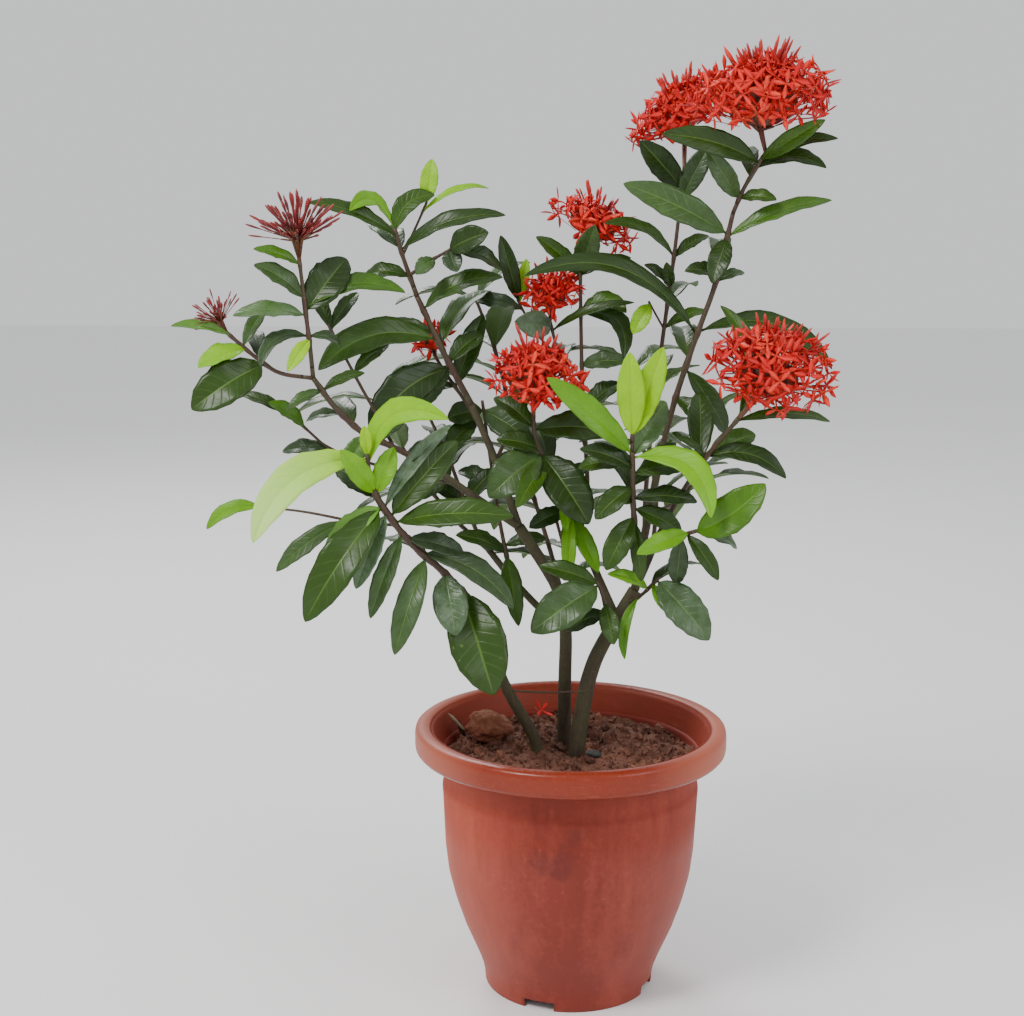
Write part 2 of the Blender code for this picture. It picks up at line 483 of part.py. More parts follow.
def clear(blade, obstacles):
    """True where the blade, grown by the clearance, crosses nothing in place."""
    corners, faces = blade.solid(CLEARANCE, WIDER)
    low = Vector([min(c[i] for c in corners) for i in range(3)])
    high = Vector([max(c[i] for c in corners) for i in range(3)])
    whole = BVHTree.FromPolygons(corners, faces)
    outer = BVHTree.FromPolygons(*blade.solid(CLEARANCE, WIDER, INNER_SHARE))
    for item in obstacles:
        if not item.near(low, high):
            continue
        if item.node != blade.node:
            if whole.overlap(item.tree):
                return False
        elif outer.overlap(item.tree if item.is_stem else item.outer):
            return False
    return True


def shifts(step, count):
    """0, then one step each way, two steps each way, and so on."""
    yield 0.0
    for k in range(1, count + 1):
        yield -k * step
        yield k * step


def settle(make, obstacles, label):
    """The first form that make() gives which is clear of everything in place."""
    for blade in make():
        if clear(blade, obstacles):
            corners, faces = blade.solid()
            outer = BVHTree.FromPolygons(*blade.solid(BLADE, 0.0, INNER_SHARE))
            obstacles.append(Obstacle(blade.node, corners, faces, False, outer))
            return blade
    print("no room for a leaf on", label)
    return None


def aimed(stem, row, phase):
    """Forms of a leaf read off the front view: they keep its outline there and move in depth."""
    bu, bv, tu, tv, width, dd, arch, face, sway = row
    distance = stem.base_near(bu, bv, PLACES[stem.name])
    base = along(stem.points, distance)[0]
    depth = (base.y - EYE.y) * EYE_DISTANCE / -EYE.y - EYE_DISTANCE

    def forms():
        for bend in (0.0, 0.06, -0.05):
            for shift in shifts(7.0, 8):
                tip = spot(tu, tv, depth + dd + shift)
                yield Blade(stem.node, base, tip, width, arch + bend, face, sway, phase)
        for lean in (0.35, -0.35):
            for shift in shifts(9.0, 6):
                tip = spot(tu, tv, depth + dd + shift)
                yield Blade(stem.node, base, tip, width * 0.9, arch, face + lean, sway, phase)
        for short in (0.86, 0.74):
            for shift in shifts(9.0, 6):
                tip = base.lerp(spot(tu, tv, depth + dd + shift), short)
                yield Blade(stem.node, base, tip, width * short, arch, face, sway, phase)
    return forms


def ruled(stem, share, azimuth, length, phase):
    """Forms of a leaf set by rule round its stem, turned in small steps."""
    distance = stem.own_start + 3.0 + (stem.length - stem.own_start - 5.0) * share
    base, run = along(stem.points, distance)

    def forms():
        for size in (1.0, 0.82, 0.66):
            for turn in shifts(math.radians(11.0), 7):
                flat = Vector((math.cos(azimuth + turn), math.sin(azimuth + turn), 0.0))
                out = (flat - run * flat.dot(run)).normalized()
                reach = out * 0.86 + run * 0.42 - UP * 0.22
                tip = base + reach.normalized() * (length * size)
                yield Blade(stem.node, base, tip, length * size * 0.27, 0.13, 0.0, 0.0, phase)
    return forms


def as_obstacle(name, pieces):
    """All the pieces of a head as one thing to stay clear of."""
    corners = []
    faces = []
    for item in pieces:
        first = len(corners)
        corners += [vert.co / MM for vert in item.data.vertices]
        faces += [tuple(first + v for v in face.vertices) for face in item.data.polygons]
    return Obstacle(name, corners, faces, True)


def place_leaves(heads):
    """Every leaf of the plant, each clear of the stems, heads and leaves placed before it."""
    obstacles = [as_obstacle(name, pieces) for name, pieces in heads.items()]
    for stem in STEMS.values():
        if stem.stub_node:
            points = piece_of(stem.points, 0.0, stem.stub)
            radii = [stem.first] * len(points)
            obstacles.append(Obstacle(stem.stub_node, *tube_shell(points, radii), True))
        points = piece_of(stem.points, stem.own_start, stem.length)
        marks = stretch(points)
        radii = [stem.radius(stem.own_start + m) for m in marks]
        obstacles.append(Obstacle(stem.node, *tube_shell(points, radii), True))
    draw = random.Random(SEED)
    jobs = []
    for name, rows in LEAVES.items():
        for row in rows:
            phase = draw.uniform(0.0, 6.28)
            size = Vector((row[0] - row[2], row[1] - row[3])).length
            jobs.append((-size * row[4], name, aimed(STEMS[name], row, phase)))
    jobs.sort(key=lambda job: job[0])
    for name, share, length in FAR_SIDE:
        azimuth = math.pi / 2.0 + draw.uniform(-0.5, 0.5)
        forms = ruled(STEMS[name], share, azimuth, length * draw.uniform(0.92, 1.08), draw.uniform(0.0, 6.28))
        jobs.append((0.0, name, forms))
    for name, first, last, pairs, length in PAIRS:
        start = draw.uniform(0.0, math.pi)
        for k in range(pairs):
            share = first + (last - first) * k / max(pairs - 1, 1)
            for half in (0.0, math.pi):
                azimuth = start + k * math.pi / 2.0 + half
                size = length * draw.uniform(0.85, 1.1)
                jobs.append((0.0, name, ruled(STEMS[name], share, azimuth, size, draw.uniform(0.0, 6.28))))
    leaves = []
    for _, name, forms in jobs:
        blade = settle(forms, obstacles, name)
        if blade:
            leaves.append(blade)
    return leaves


# Materials
FINISHES = {
    "pot": ((0.42, 0.10, 0.055), 0.42), "soil": ((0.12, 0.05, 0.03), 0.95), "clod": ((0.30, 0.11, 0.05), 0.9),
    "bark": ((0.065, 0.045, 0.032), 0.85), "leaf": ((0.035, 0.11, 0.018), 0.38),
    "young_leaf": ((0.28, 0.45, 0.03), 0.42), "petal": ((0.72, 0.035, 0.018), 0.5),
    "bud": ((0.33, 0.045, 0.035), 0.55),
}


def finish(name):
    if name in bpy.data.materials:
        return bpy.data.materials[name]
    colour, roughness = FINISHES[name]
    material = bpy.data.materials.new(name)
    material.use_nodes = True
    shader = material.node_tree.nodes["Principled BSDF"]
    shader.inputs["Base Color"].default_value = (*colour, 1.0)
    shader.inputs["Roughness"].default_value = roughness
    shader.inputs["Metallic"].default_value = 0.0
    material.diffuse_color = (*colour, 1.0)
    return material


def collection(name):
    new = bpy.data.collections.new(name)
    bpy.context.scene.collection.children.link(new)
    return new


def mesh_object(name, corners, faces, home):
    """A mesh in metres from corners in millimetres."""
    mesh = bpy.data.meshes.new(name)
    mesh.from_pydata([c * MM for c in corners], [], faces)
    item = bpy.data.objects.new(name, mesh)
    home.objects.link(item)
    return item


def mesh_from_bmesh(name, form, home):
    mesh = bpy.data.meshes.new(name)
    form.to_mesh(mesh)
    form.free()
    item = bpy.data.objects.new(name, mesh)
    home.objects.link(item)
    return item


def tube(name, points, radii, sides, home):
    """A stem: a curve with a round section and closed ends, made a mesh."""
    curve = bpy.data.curves.new(name, "CURVE")
    curve.dimensions = "3D"
    curve.bevel_depth = MM
    curve.bevel_resolution = sides // 2 - 2
    curve.use_fill_caps = True
    line = curve.splines.new("POLY")
    line.points.add(len(points) - 1)
    for control, p, radius in zip(line.points, points, radii):
        control.co = (*(p * MM), 1.0)
        control.radius = radius
    guide = bpy.data.objects.new(name, curve)
    home.objects.link(guide)
    bpy.context.view_layer.update()
    shape = guide.evaluated_get(bpy.context.evaluated_depsgraph_get())
    mesh = bpy.data.meshes.new_from_object(shape)
    form = bmesh.new()
    form.from_mesh(mesh)
    bmesh.ops.remove_doubles(form, verts=form.verts, dist=1e-6)
    bmesh.ops.recalc_face_normals(form, faces=form.faces)
    form.to_mesh(mesh)
    form.free()
    item = bpy.data.objects.new(name, mesh)
    home.objects.link(item)
    bpy.data.objects.remove(guide)
    bpy.data.curves.remove(curve)
    return item


def join(name, pieces, finish_name, home):
    """One body made of pieces that run into each other."""
    body = pieces[0]
    if len(pieces) > 1:
        others = collection(name + "_pieces")
        for item in pieces[1:]:
            for owner in item.users_collection:
                owner.objects.unlink(item)
            others.objects.link(item)
        union = body.modifiers.new("Union", "BOOLEAN")
        union.operation = "UNION"
        union.operand_type = "COLLECTION"
        union.collection = others
        union.solver = "EXACT"
        bpy.context.view_layer.update()
        shape = body.evaluated_get(bpy.context.evaluated_depsgraph_get())
        mesh = bpy.data.meshes.new_from_object(shape)
        body.modifiers.clear()
        body.data = mesh
        for item in list(others.objects):
            bpy.data.objects.remove(item)
        bpy.data.collections.remove(others)
    for owner in body.users_collection:
        owner.objects.unlink(body)
    home.objects.link(body)
    body.name = name
    body.data.name = name
    body.data.materials.clear()
    body.data.materials.append(finish(finish_name))
    body.data.shade_smooth()
    body.data.set_sharp_from_angle(angle=math.radians(35.0))
    return body


def cut(body, cutters):
    """Take cutters out of a body and remove them."""
    for cutter in cutters:
        cutter.hide_render = True
        cutter.display_type = "WIRE"
        hole = body.modifiers.new("Cut", "BOOLEAN")
        hole.operation = "DIFFERENCE"
        hole.object = cutter
        hole.solver = "EXACT"
    bpy.context.view_layer.update()
    shape = body.evaluated_get(bpy.context.evaluated_depsgraph_get())
    mesh = bpy.data.meshes.new_from_object(shape)
    body.modifiers.clear()
    body.data = mesh
    for cutter in cutters:
        bpy.data.objects.remove(cutter)


def turned(name, profile, steps, home):
    """A turned shape: a profile in (radius, height), down its outer side, spun round Z."""
    mesh = bpy.data.meshes.new(name)
    corners = [(r * MM, 0.0, z * MM) for r, z in profile]
    mesh.from_pydata(corners, [(k, k + 1) for k in range(len(profile) - 1)], [])
    item = bpy.data.objects.new(name, mesh)
    home.objects.link(item)
    spin = item.modifiers.new("Spin", "SCREW")
    spin.axis = "Z"
    spin.steps = steps
    spin.render_steps = steps
    spin.use_merge_vertices = True
    spin.merge_threshold = 0.00001
    bpy.context.view_layer.update()
    shape = item.evaluated_get(bpy.context.evaluated_depsgraph_get())
    made = bpy.data.meshes.new_from_object(shape)
    item.modifiers.clear()
    item.data = made
    return item


def body_radius(z):
    """The pot's outer radius at a height, between the points of BODY."""
    for (z0, r0), (z1, r1) in zip(BODY, BODY[1:]):
        if z1 <= z <= z0:
            return r1 + (r0 - r1) * (z - z1) / (z0 - z1)
    return BODY[-1][1]


FLOOR_TOP = FOOT_HEIGHT + POT_WALL
INSIDE = [(z, body_radius(z) - POT_WALL) for z in (182.0, 96.0, 52.0, 24.0)]


def build_pot(home, scratch):
    inner = [(0.0, FLOOR_TOP), (FOOT_RADIUS - 6.0, FLOOR_TOP)]
    inner += [(r, z) for z, r in reversed(INSIDE)]
    rim = [(MOUTH_RADIUS - 2.0, POT_HEIGHT - 5.0), (MOUTH_RADIUS + 2.0, POT_HEIGHT),
           (RIM_RADIUS - 4.0, POT_HEIGHT), (RIM_RADIUS, POT_HEIGHT - 5.0),
           (RIM_RADIUS, POT_HEIGHT - RIM_DEPTH + 3.0), (RIM_RADIUS - 2.5, POT_HEIGHT - RIM_DEPTH)]
    outer = [(r, z) for z, r in BODY]
    outer[0] = (outer[0][0], POT_HEIGHT - RIM_DEPTH)
    foot = [(FOOT_RADIUS, 0.0), (FOOT_RADIUS - FOOT_WALL, 0.0),
            (FOOT_RADIUS - FOOT_WALL - 1.0, FOOT_HEIGHT), (0.0, FOOT_HEIGHT)]
    pot = turned("pot", inner + rim + outer + foot, POT_STEPS, home)
    cutters = []
    for angle in NOTCH_ANGLES:
        turn = math.radians(angle - 90.0)
        bpy.ops.mesh.primitive_cube_add(size=1.0)
        notch = bpy.context.object
        notch.scale = (14.0 * MM, NOTCH_WIDTH * MM, 2.0 * (FOOT_HEIGHT - 0.5) * MM)
        notch.rotation_euler = (0.0, 0.0, turn)
        notch.location = (FOOT_RADIUS * MM * math.cos(turn), FOOT_RADIUS * MM * math.sin(turn), 0.0)
        cutters.append(notch)
    bpy.ops.mesh.primitive_cylinder_add(vertices=8, radius=DRAIN_RADIUS * MM, depth=12.0 * MM)
    drain = bpy.context.object
    drain.location = (0.0, 0.0, FOOT_HEIGHT * MM)
    cutters.append(drain)
    for cutter in cutters:
        for owner in cutter.users_collection:
            owner.objects.unlink(cutter)
        scratch.objects.link(cutter)
    cut(pot, cutters)
    return join("pot", [pot], "pot", home)


def soil_height(x, y):
    """Crumbled soil: lumps by noise, a little higher at the middle."""
    lumps = noise.noise(Vector((x, y, 3.0)) / 17.0) + 0.6 * noise.noise(Vector((x, y, 9.0)) / 8.0)
    return SOIL_TOP + LUMP * lumps + 3.0 * (1.0 - math.hypot(x, y) / 98.0)


def trunk_stems():
    return [stem for stem in STEMS.values() if stem.points[0].z < SOIL_TOP - 10.0]


def clod_mesh(name, grow, home):
    form = bmesh.new()
    bmesh.ops.create_icosphere(form, subdivisions=2, radius=1.0)
    for vert in form.verts:
        bump = 1.0 + 0.22 * noise.noise(vert.co * 1.7 + Vector((4.0, 1.0, 2.0)))
        size = Vector([s * bump + grow for s in CLOD_SIZE])
        vert.co = Vector([vert.co[i] * size[i] for i in range(3)])
    turn = Matrix.Translation(spot(*CLOD_AT)) @ Matrix.Rotation(0.35, 4, "Y") @ Matrix.Rotation(0.5, 4, "Z")
    bmesh.ops.transform(form, matrix=Matrix.Scale(MM, 4) @ turn, verts=form.verts)
    return mesh_from_bmesh(name, form, home)


def build_soil(home, scratch):
    """The soil fills the pot. Its top is a ring grid of lumps, with holes for the trunks."""
    walls = [(r * math.cos(math.pi / POT_STEPS) - GAP, z) for z, r in INSIDE]
    edge = walls[0][0]
    corners = []
    faces = []
    for ring in range(1, SOIL_RINGS + 1):
        for k in range(SOIL_SPOKES):
            a = 2.0 * math.pi * (k + 0.5 * (ring % 2)) / SOIL_SPOKES
            r = edge * ring / SOIL_RINGS
            x, y = r * math.cos(a), r * math.sin(a)
            corners.append(Vector((x, y, soil_height(x, y))))
    for r, z in walls + [(FOOT_RADIUS - 8.0, FLOOR_TOP + GAP)]:
        for k in range(SOIL_SPOKES):
            a = 2.0 * math.pi * (k + 0.5 * (SOIL_RINGS % 2)) / SOIL_SPOKES
            corners.append(Vector((r * math.cos(a), r * math.sin(a), z)))
    rings = len(corners) // SOIL_SPOKES
    for ring in range(rings - 1):
        shift = 1 if ring < SOIL_RINGS - 1 and ring % 2 == 0 else 0
        for k in range(SOIL_SPOKES):
            a, b = ring * SOIL_SPOKES + k, ring * SOIL_SPOKES + (k + 1) % SOIL_SPOKES
            c, d = a + SOIL_SPOKES, b + SOIL_SPOKES
            if ring < SOIL_RINGS - 1 and not shift:
                faces += [(a, c, b), (b, c, d)]
            else:
                faces += [(a, c, d), (a, d, b)]
    top = len(corners)
    corners.append(Vector((0.0, 0.0, soil_height(0.0, 0.0))))
    corners.append(Vector((0.0, 0.0, FLOOR_TOP + GAP)))
    low = (rings - 1) * SOIL_SPOKES
    for k in range(SOIL_SPOKES):
        j = (k + 1) % SOIL_SPOKES
        faces.append((top, k, j))
        faces.append((top + 1, low + j, low + k))
    soil = mesh_object("soil", corners, faces, home)
    holes = []
    for stem in trunk_stems():
        run = (stem.points[1] - stem.points[0]).normalized()
        points = [stem.points[0] - run * GAP] + stem.points[1:3]
        radii = [stem.radius(m) + GAP * 1.3 for m in stretch(points)]
        holes.append(tube("hole", points, radii, TRUNK_SIDES, scratch))
    holes.append(clod_mesh("hollow", GAP * 1.4, scratch))
    cut(soil, holes)
    return join("soil", [soil], "soil", home)


def star(name, middle, outward, root_at, spin, radius, home):
    """A floret: four pointed petals on a slim tube that runs back into the head."""
    across = outward.cross(UP if abs(outward.z) < 0.9 else Vector((1.0, 0.0, 0.0))).normalized()
    over = outward.cross(across)

    def at(angle, reach, height):
        a = spin + angle
        return middle + (across * math.cos(a) + over * math.sin(a)) * reach + outward * height

    step = 2.0 * math.pi / PETALS
    rim = []
    for k in range(PETALS):
        rim += [at((k - 0.5) * step, radius * NOTCH_SHARE, 0.6), at(k * step, radius, -1.4)]
    neck = [at((k - 0.5) * step, TUBE_RADIUS, -1.6) for k in range(PETALS)]
    corners = rim + neck + [middle + outward * 1.0, root_at]
    n = len(rim)
    top, root = n + PETALS, n + PETALS + 1
    faces = []
    for k in range(PETALS):
        j = (k + 1) % PETALS
        notch, tip, far = 2 * k, 2 * k + 1, 2 * j
        faces += [(top, notch, tip), (top, tip, far), (tip, notch, n + k), (far, tip, n + j),
                  (tip, n + k, n + j), (n + j, n + k, root)]
    item = mesh_object(name, corners, faces, home)
    form = bmesh.new()
    form.from_mesh(item.data)
    bmesh.ops.recalc_face_normals(form, faces=form.faces)
    form.to_mesh(item.data)
    form.free()
    return item


def needle(name, root, tip, radius, home):
    """A bud: slim at its root, widest near its pointed tip."""
    run = tip - root
    across = run.cross(Vector((0.3, 1.0, 0.1))).normalized()
    over = run.normalized().cross(across)
    belly = root + run * 0.78
    turns = [2.0 * math.pi * k / NEEDLE_SIDES for k in range(NEEDLE_SIDES)]
    corners = [belly + (across * math.cos(a) + over * math.sin(a)) * radius for a in turns] + [tip, root]
    faces = []
    for k in range(NEEDLE_SIDES):
        j = (k + 1) % NEEDLE_SIDES
        faces += [(k, j, NEEDLE_SIDES), (j, k, NEEDLE_SIDES + 1)]
    return mesh_object(name, corners, faces, home)


def dome_points(count, reach):
    """Directions spread evenly over a cap round +Z."""
    golden = math.pi * (3.0 - math.sqrt(5.0))
    floor = math.cos(reach)
    for k in range(count):
        z = 1.0 - (1.0 - floor) * (k + 0.5) / count
        r = math.sqrt(max(0.0, 1.0 - z * z))
        yield Vector((r * math.cos(golden * k), r * math.sin(golden * k), z))


def leaning(way, rise):
    """A step from a head's middle, sheared so that the head rises to the right."""
    return way + UP * (way.x * rise)


def jitter(draw):
    return Vector((draw.uniform(-1, 1), draw.uniform(-1, 1), draw.uniform(-1, 1)))


def head_pieces(head, home):
    name, carrier, middle, radii, rise, axis, florets, buds = head
    stem = STEMS[carrier]
    centre = spot(*middle)
    tilt = Vector(axis).normalized().to_track_quat("Z", "Y")
    draw = random.Random(name)
    foot, run = along(stem.points, stem.length)
    foot = foot + run * GAP
    hub = centre - tilt @ Vector((0.0, 0.0, min(radii) * 0.25))
    form = bmesh.new()
    bmesh.ops.create_icosphere(form, subdivisions=1, radius=1.0)
    for vert in form.verts:
        bump = CORE_SHARE * (1.0 + 0.12 * noise.noise(vert.co * 2.5))
        vert.co = leaning(Vector([vert.co[i] * radii[i] * bump for i in range(3)]), rise) + hub
    bmesh.ops.scale(form, vec=(MM, MM, MM), verts=form.verts)
    pieces = [mesh_from_bmesh(name + "_core", form, home)]
    stalk = [foot, foot + run * 4.0, hub]
    pieces.append(tube(name + "_stalk", stalk, [stem.last, stem.last, 5.0], SHOOT_SIDES, home))
    for way in dome_points(florets, DOME_REACH):
        way = tilt @ way
        reach = 1.0 / math.sqrt(sum((way[i] / radii[i]) ** 2 for i in range(3)))
        lift = draw.uniform(-2.0, 1.6)
        outward = Vector([way[i] / radii[i] for i in range(3)]).normalized()
        outward = (outward + jitter(draw) * 0.16).normalized()
        size = FLORET_RADIUS * draw.uniform(0.88, 1.06)
        place = centre + leaning(way * (reach - 2.0 + lift), rise)
        root_at = hub.lerp(place, TUBE_SHARE)
        pieces.append(star(name + "_floret", place, outward, root_at, draw.uniform(0.0, 1.57), size, home))
    for way in dome_points(buds, math.radians(62.0)):
        way = (tilt @ way).lerp(UP, 0.45).normalized()
        way = (way + Vector((draw.uniform(-1, 1), draw.uniform(-1, 1), 0.0)) * 0.2).normalized()
        reach = 1.0 / math.sqrt(sum((way[i] / radii[i]) ** 2 for i in range(3)))
        tip = centre + leaning(way * (reach + draw.uniform(8.0, 19.0)), rise)
        pieces.append(needle(name + "_bud", hub.lerp(tip, TUBE_SHARE * 0.35), tip, 1.7, home))
    return pieces


def bud_head_pieces(row, home):
    name, carrier, middle, reach, count = row
    stem = STEMS[carrier]
    foot, run = along(stem.points, stem.length)
    foot = foot + run * GAP
    axis = (spot(*middle) - foot).normalized()
    tilt = axis.to_track_quat("Z", "Y")
    draw = random.Random(name)
    hub = foot + axis * (reach * 0.4)
    pieces = [tube(name + "_stalk", [foot, foot + run * 3.0, hub, hub + axis * reach * 0.25],
                   [stem.last, stem.last, reach * 0.16, reach * 0.1], SHOOT_SIDES, home)]
    for way in dome_points(count, BUD_FAN):
        way = tilt @ way
        way = (way + jitter(draw) * 0.12).normalized()
        tip = hub + way * reach * draw.uniform(0.72, 1.3)
        pieces.append(needle(name + "_bud", hub + way * (reach * 0.1), tip, reach * 0.066, home))
    return pieces


def sides_of(stem):
    if stem.first > TRUNK_FROM:
        return TRUNK_SIDES
    return BRANCH_SIDES if stem.node.startswith("trunk") else SHOOT_SIDES


def stem_tubes(node, home):
    """The tubes that a node holds: its own stretch of each path, and its stubs."""
    made = []
    for stem in STEMS.values():
        if stem.node == node:
            points = piece_of(stem.points, stem.own_start, stem.length)
            radii = [stem.radius(stem.own_start + m) for m in stretch(points)]
            made.append(tube(node + "_stem", points, radii, sides_of(stem), home))
        if stem.stub_node == node:
            points = piece_of(stem.points, 0.0, stem.stub)
            radii = [stem.first * 0.9] + [stem.first] * (len(points) - 1)
            made.append(tube(node + "_stub", points, radii, SHOOT_SIDES, home))
    return made


YOUNG = ("shoot_front_left_young", "shoot_front_right_young")


def centre_on_floor(items):
    """Move everything so that the middle of its box is over the origin."""
    corners = [item.matrix_world @ vert.co for item in items for vert in item.data.vertices]
    middle = [(min(c[i] for c in corners) + max(c[i] for c in corners)) * 0.5 for i in (0, 1)]
    for item in items:
        item.data.transform(Matrix.Translation((-middle[0], -middle[1], 0.0)))
    print("pot's axis at", [round(-m / MM, 3) for m in middle])


def build():
    for item in list(bpy.data.objects):
        bpy.data.objects.remove(item)
    home = collection("potted_ixora")
    scratch = collection("cutters")
    build_pot(home, scratch)
    build_soil(home, scratch)
    join("clod", [clod_mesh("clod", 0.0, scratch)], "clod", home)
    heads = {head[0]: head_pieces(head, scratch) for head in HEADS}
    bud_heads = {row[0]: bud_head_pieces(row, scratch) for row in BUD_HEADS}
    leaves = place_leaves({**heads, **bud_heads})
    nodes = list(dict.fromkeys(stem.node for stem in STEMS.values()))
    for node in nodes:
        woody = node.startswith("trunk")
        pieces = stem_tubes(node, scratch)
        for blade in leaves:
            if blade.node == node:
                pieces.append(mesh_object(node + "_leaf", *blade.solid(), scratch))
        join(node, pieces, "bark" if woody else "young_leaf" if node in YOUNG else "leaf", home)
    for name, pieces in heads.items():
        join(name, pieces, "petal", home)
    for name, pieces in bud_heads.items():
        join(name, pieces, "bud", home)
    centre_on_floor(list(home.objects))
    total = 0
    for item in home.objects:
        item.data.calc_loop_triangles()
        count = len(item.data.loop_triangles)
        total += count
        print(item.name, count, "triangles")
    print(len(home.objects), "nodes,", len(leaves), "leaves,", total, "triangles")


build()
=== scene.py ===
# %% [markdown]
# # A potted red ixora
# The part is a flowering shrub in a red-brown nursery pot. Its plain solids are loaded first, and every
# piece that follows dresses one of them: leaves, stems, florets, buds, soil and pot. The shrub is planned
# as it is seen from the front, so the same plan places the solids and the fine pieces.

# %% Load the solids
import math
import random

import bmesh
import bpy
from mathutils import Matrix, Vector, noise
from mathutils.bvhtree import BVHTree


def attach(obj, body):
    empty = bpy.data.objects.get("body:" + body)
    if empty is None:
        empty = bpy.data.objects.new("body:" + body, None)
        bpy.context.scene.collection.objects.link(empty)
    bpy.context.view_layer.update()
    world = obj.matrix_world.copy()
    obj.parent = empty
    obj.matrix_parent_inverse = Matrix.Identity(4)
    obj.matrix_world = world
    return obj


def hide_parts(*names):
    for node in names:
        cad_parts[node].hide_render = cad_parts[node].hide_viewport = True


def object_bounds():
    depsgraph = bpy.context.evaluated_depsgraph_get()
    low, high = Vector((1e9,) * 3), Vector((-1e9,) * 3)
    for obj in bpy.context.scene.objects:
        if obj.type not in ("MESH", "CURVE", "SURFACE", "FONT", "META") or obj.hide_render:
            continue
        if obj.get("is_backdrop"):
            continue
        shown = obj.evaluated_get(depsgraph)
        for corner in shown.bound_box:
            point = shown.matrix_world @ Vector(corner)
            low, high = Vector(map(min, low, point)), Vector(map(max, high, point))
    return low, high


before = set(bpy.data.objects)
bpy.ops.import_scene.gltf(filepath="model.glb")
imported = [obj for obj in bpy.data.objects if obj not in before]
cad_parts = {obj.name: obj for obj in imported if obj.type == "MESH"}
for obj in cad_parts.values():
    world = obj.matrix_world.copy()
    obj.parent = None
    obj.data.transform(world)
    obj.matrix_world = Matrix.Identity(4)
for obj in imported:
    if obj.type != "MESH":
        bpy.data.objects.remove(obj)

CAD_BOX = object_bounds()
pot_corners = [Vector(corner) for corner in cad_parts["pot"].bound_box]
AXIS = sum(pot_corners, Vector()) / 8.0
AXIS.z = 0.0
print("solids:", len(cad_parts), "box:", [tuple(round(v, 3) for v in corner) for corner in CAD_BOX])
print("pot's axis:", [round(v, 5) for v in AXIS])

# %% [markdown]
# ## Camera
# The photograph was taken from a little above the flowers. The place of the eye and the length of its lens
# were fitted to the pot's rim and foot, which are circles of known size. Everything is planned round the pot's
# axis, which stands a little off the middle of the whole plant's box.

# %% Camera
scene = bpy.context.scene
camera = bpy.data.objects.new("camera", bpy.data.cameras.new("camera"))
scene.collection.objects.link(camera)
camera.data.sensor_width = 36.0
camera.data.lens = 62.6
camera.location = AXIS + Vector((-0.0484, -1.3741, 0.6571))
camera.rotation_euler = (math.radians(90.0 - 10.883), math.radians(-0.176), 0.0)
scene.camera = camera
print("camera at", tuple(round(v, 3) for v in camera.location))

# %% [markdown]
# ## The plan of the shrub
# A real shrub grows by rule and by accident. The stems and leaves that the photograph shows are written
# down as rows, read off the front view in millimetres, and those on the far side follow a rule: pairs of
# leaves, each pair turned a quarter from the last. A place is (u, v, depth): right, up, and how far behind
# the plane through the pot's axis.

# %% Sizes, in millimetres
MM = 0.001
UP = Vector((0.0, 0.0, 1.0))
GAP = 0.35  # between pieces that touch on the real plant
SEED = 11

# The place that the front view is seen from
EYE = Vector((-48.4, -1374.0, 657.0))
EYE_DISTANCE = 1374.0

# Pot: a ten-inch nursery pot
POT_HEIGHT = 217.0
RIM_RADIUS = 125.0
MOUTH_RADIUS = 112.0
RIM_DEPTH = 21.0
FOOT_RADIUS = 68.5
FOOT_HEIGHT = 8.0
FOOT_WALL = 4.0
POT_WALL = 3.0
POT_STEPS = 26  # sides of the solid pot, which the bed fits inside
POT_SPOKES = 112  # corners round the fine pot
BODY = ((197.0, 101.5), (171.0, 101.5), (168.0, 103.5), (117.0, 101.0),
        (96.0, 98.5), (74.0, 93.0), (52.0, 85.5), (30.0, 76.0), (16.0, 70.5))
NOTCH_ANGLES = (-112.0, -22.0, 68.0, 158.0)
NOTCH_WIDTH = 25.0
DRAIN_RADIUS = 7.0

# Soil
SOIL_TOP = 193.0
BED_EDGE = 101.6
BED_RINGS = 54
BED_SPOKES = 150
CRUMB_REACH = 97.0  # crumbs lie this near to the pot's axis
LUMP = 5.0
CLOD_AT = (-66.0, 214.0, 22.0)
CLOD_SIZE = (18.0, 14.0, 12.0)

# Stems
STUB = 9.0
STEM_STEP = 4.0  # between the rings of a fine stem
TRUNK_FROM = 5.0

# Leaves
BLADE = 0.8
CLEARANCE = 1.5
WIDER = 0.6
INNER_SHARE = 0.26
STATIONS = ((44.0, (0.48,)), (86.0, (0.3, 0.7)), (1000.0, (0.2, 0.5, 0.8)))
PETIOLE = 1.1
LEAF_THICK = 0.5
LEAF_WAVE = 0.065  # height of the edge's waves, as a share of the width
BLADE_WAVE = 0.045  # the same on a solid's blade
WAVES = 2.6  # from base to tip
WAVE_LAG = 1.3  # of one half of a leaf behind the other, in radians
FOLD = math.radians(14.0)

# Florets
FLORET_RADIUS = 13.0
TUBE_SIDES = 5


def spot(u, v, depth=0.0):
    """The point seen at (u, v), moved straight back from the eye by depth."""
    return EYE + (Vector((u, 0.0, v)) - EYE) * ((EYE_DISTANCE + depth) / EYE_DISTANCE)

print("pot height:", POT_HEIGHT, "mm")

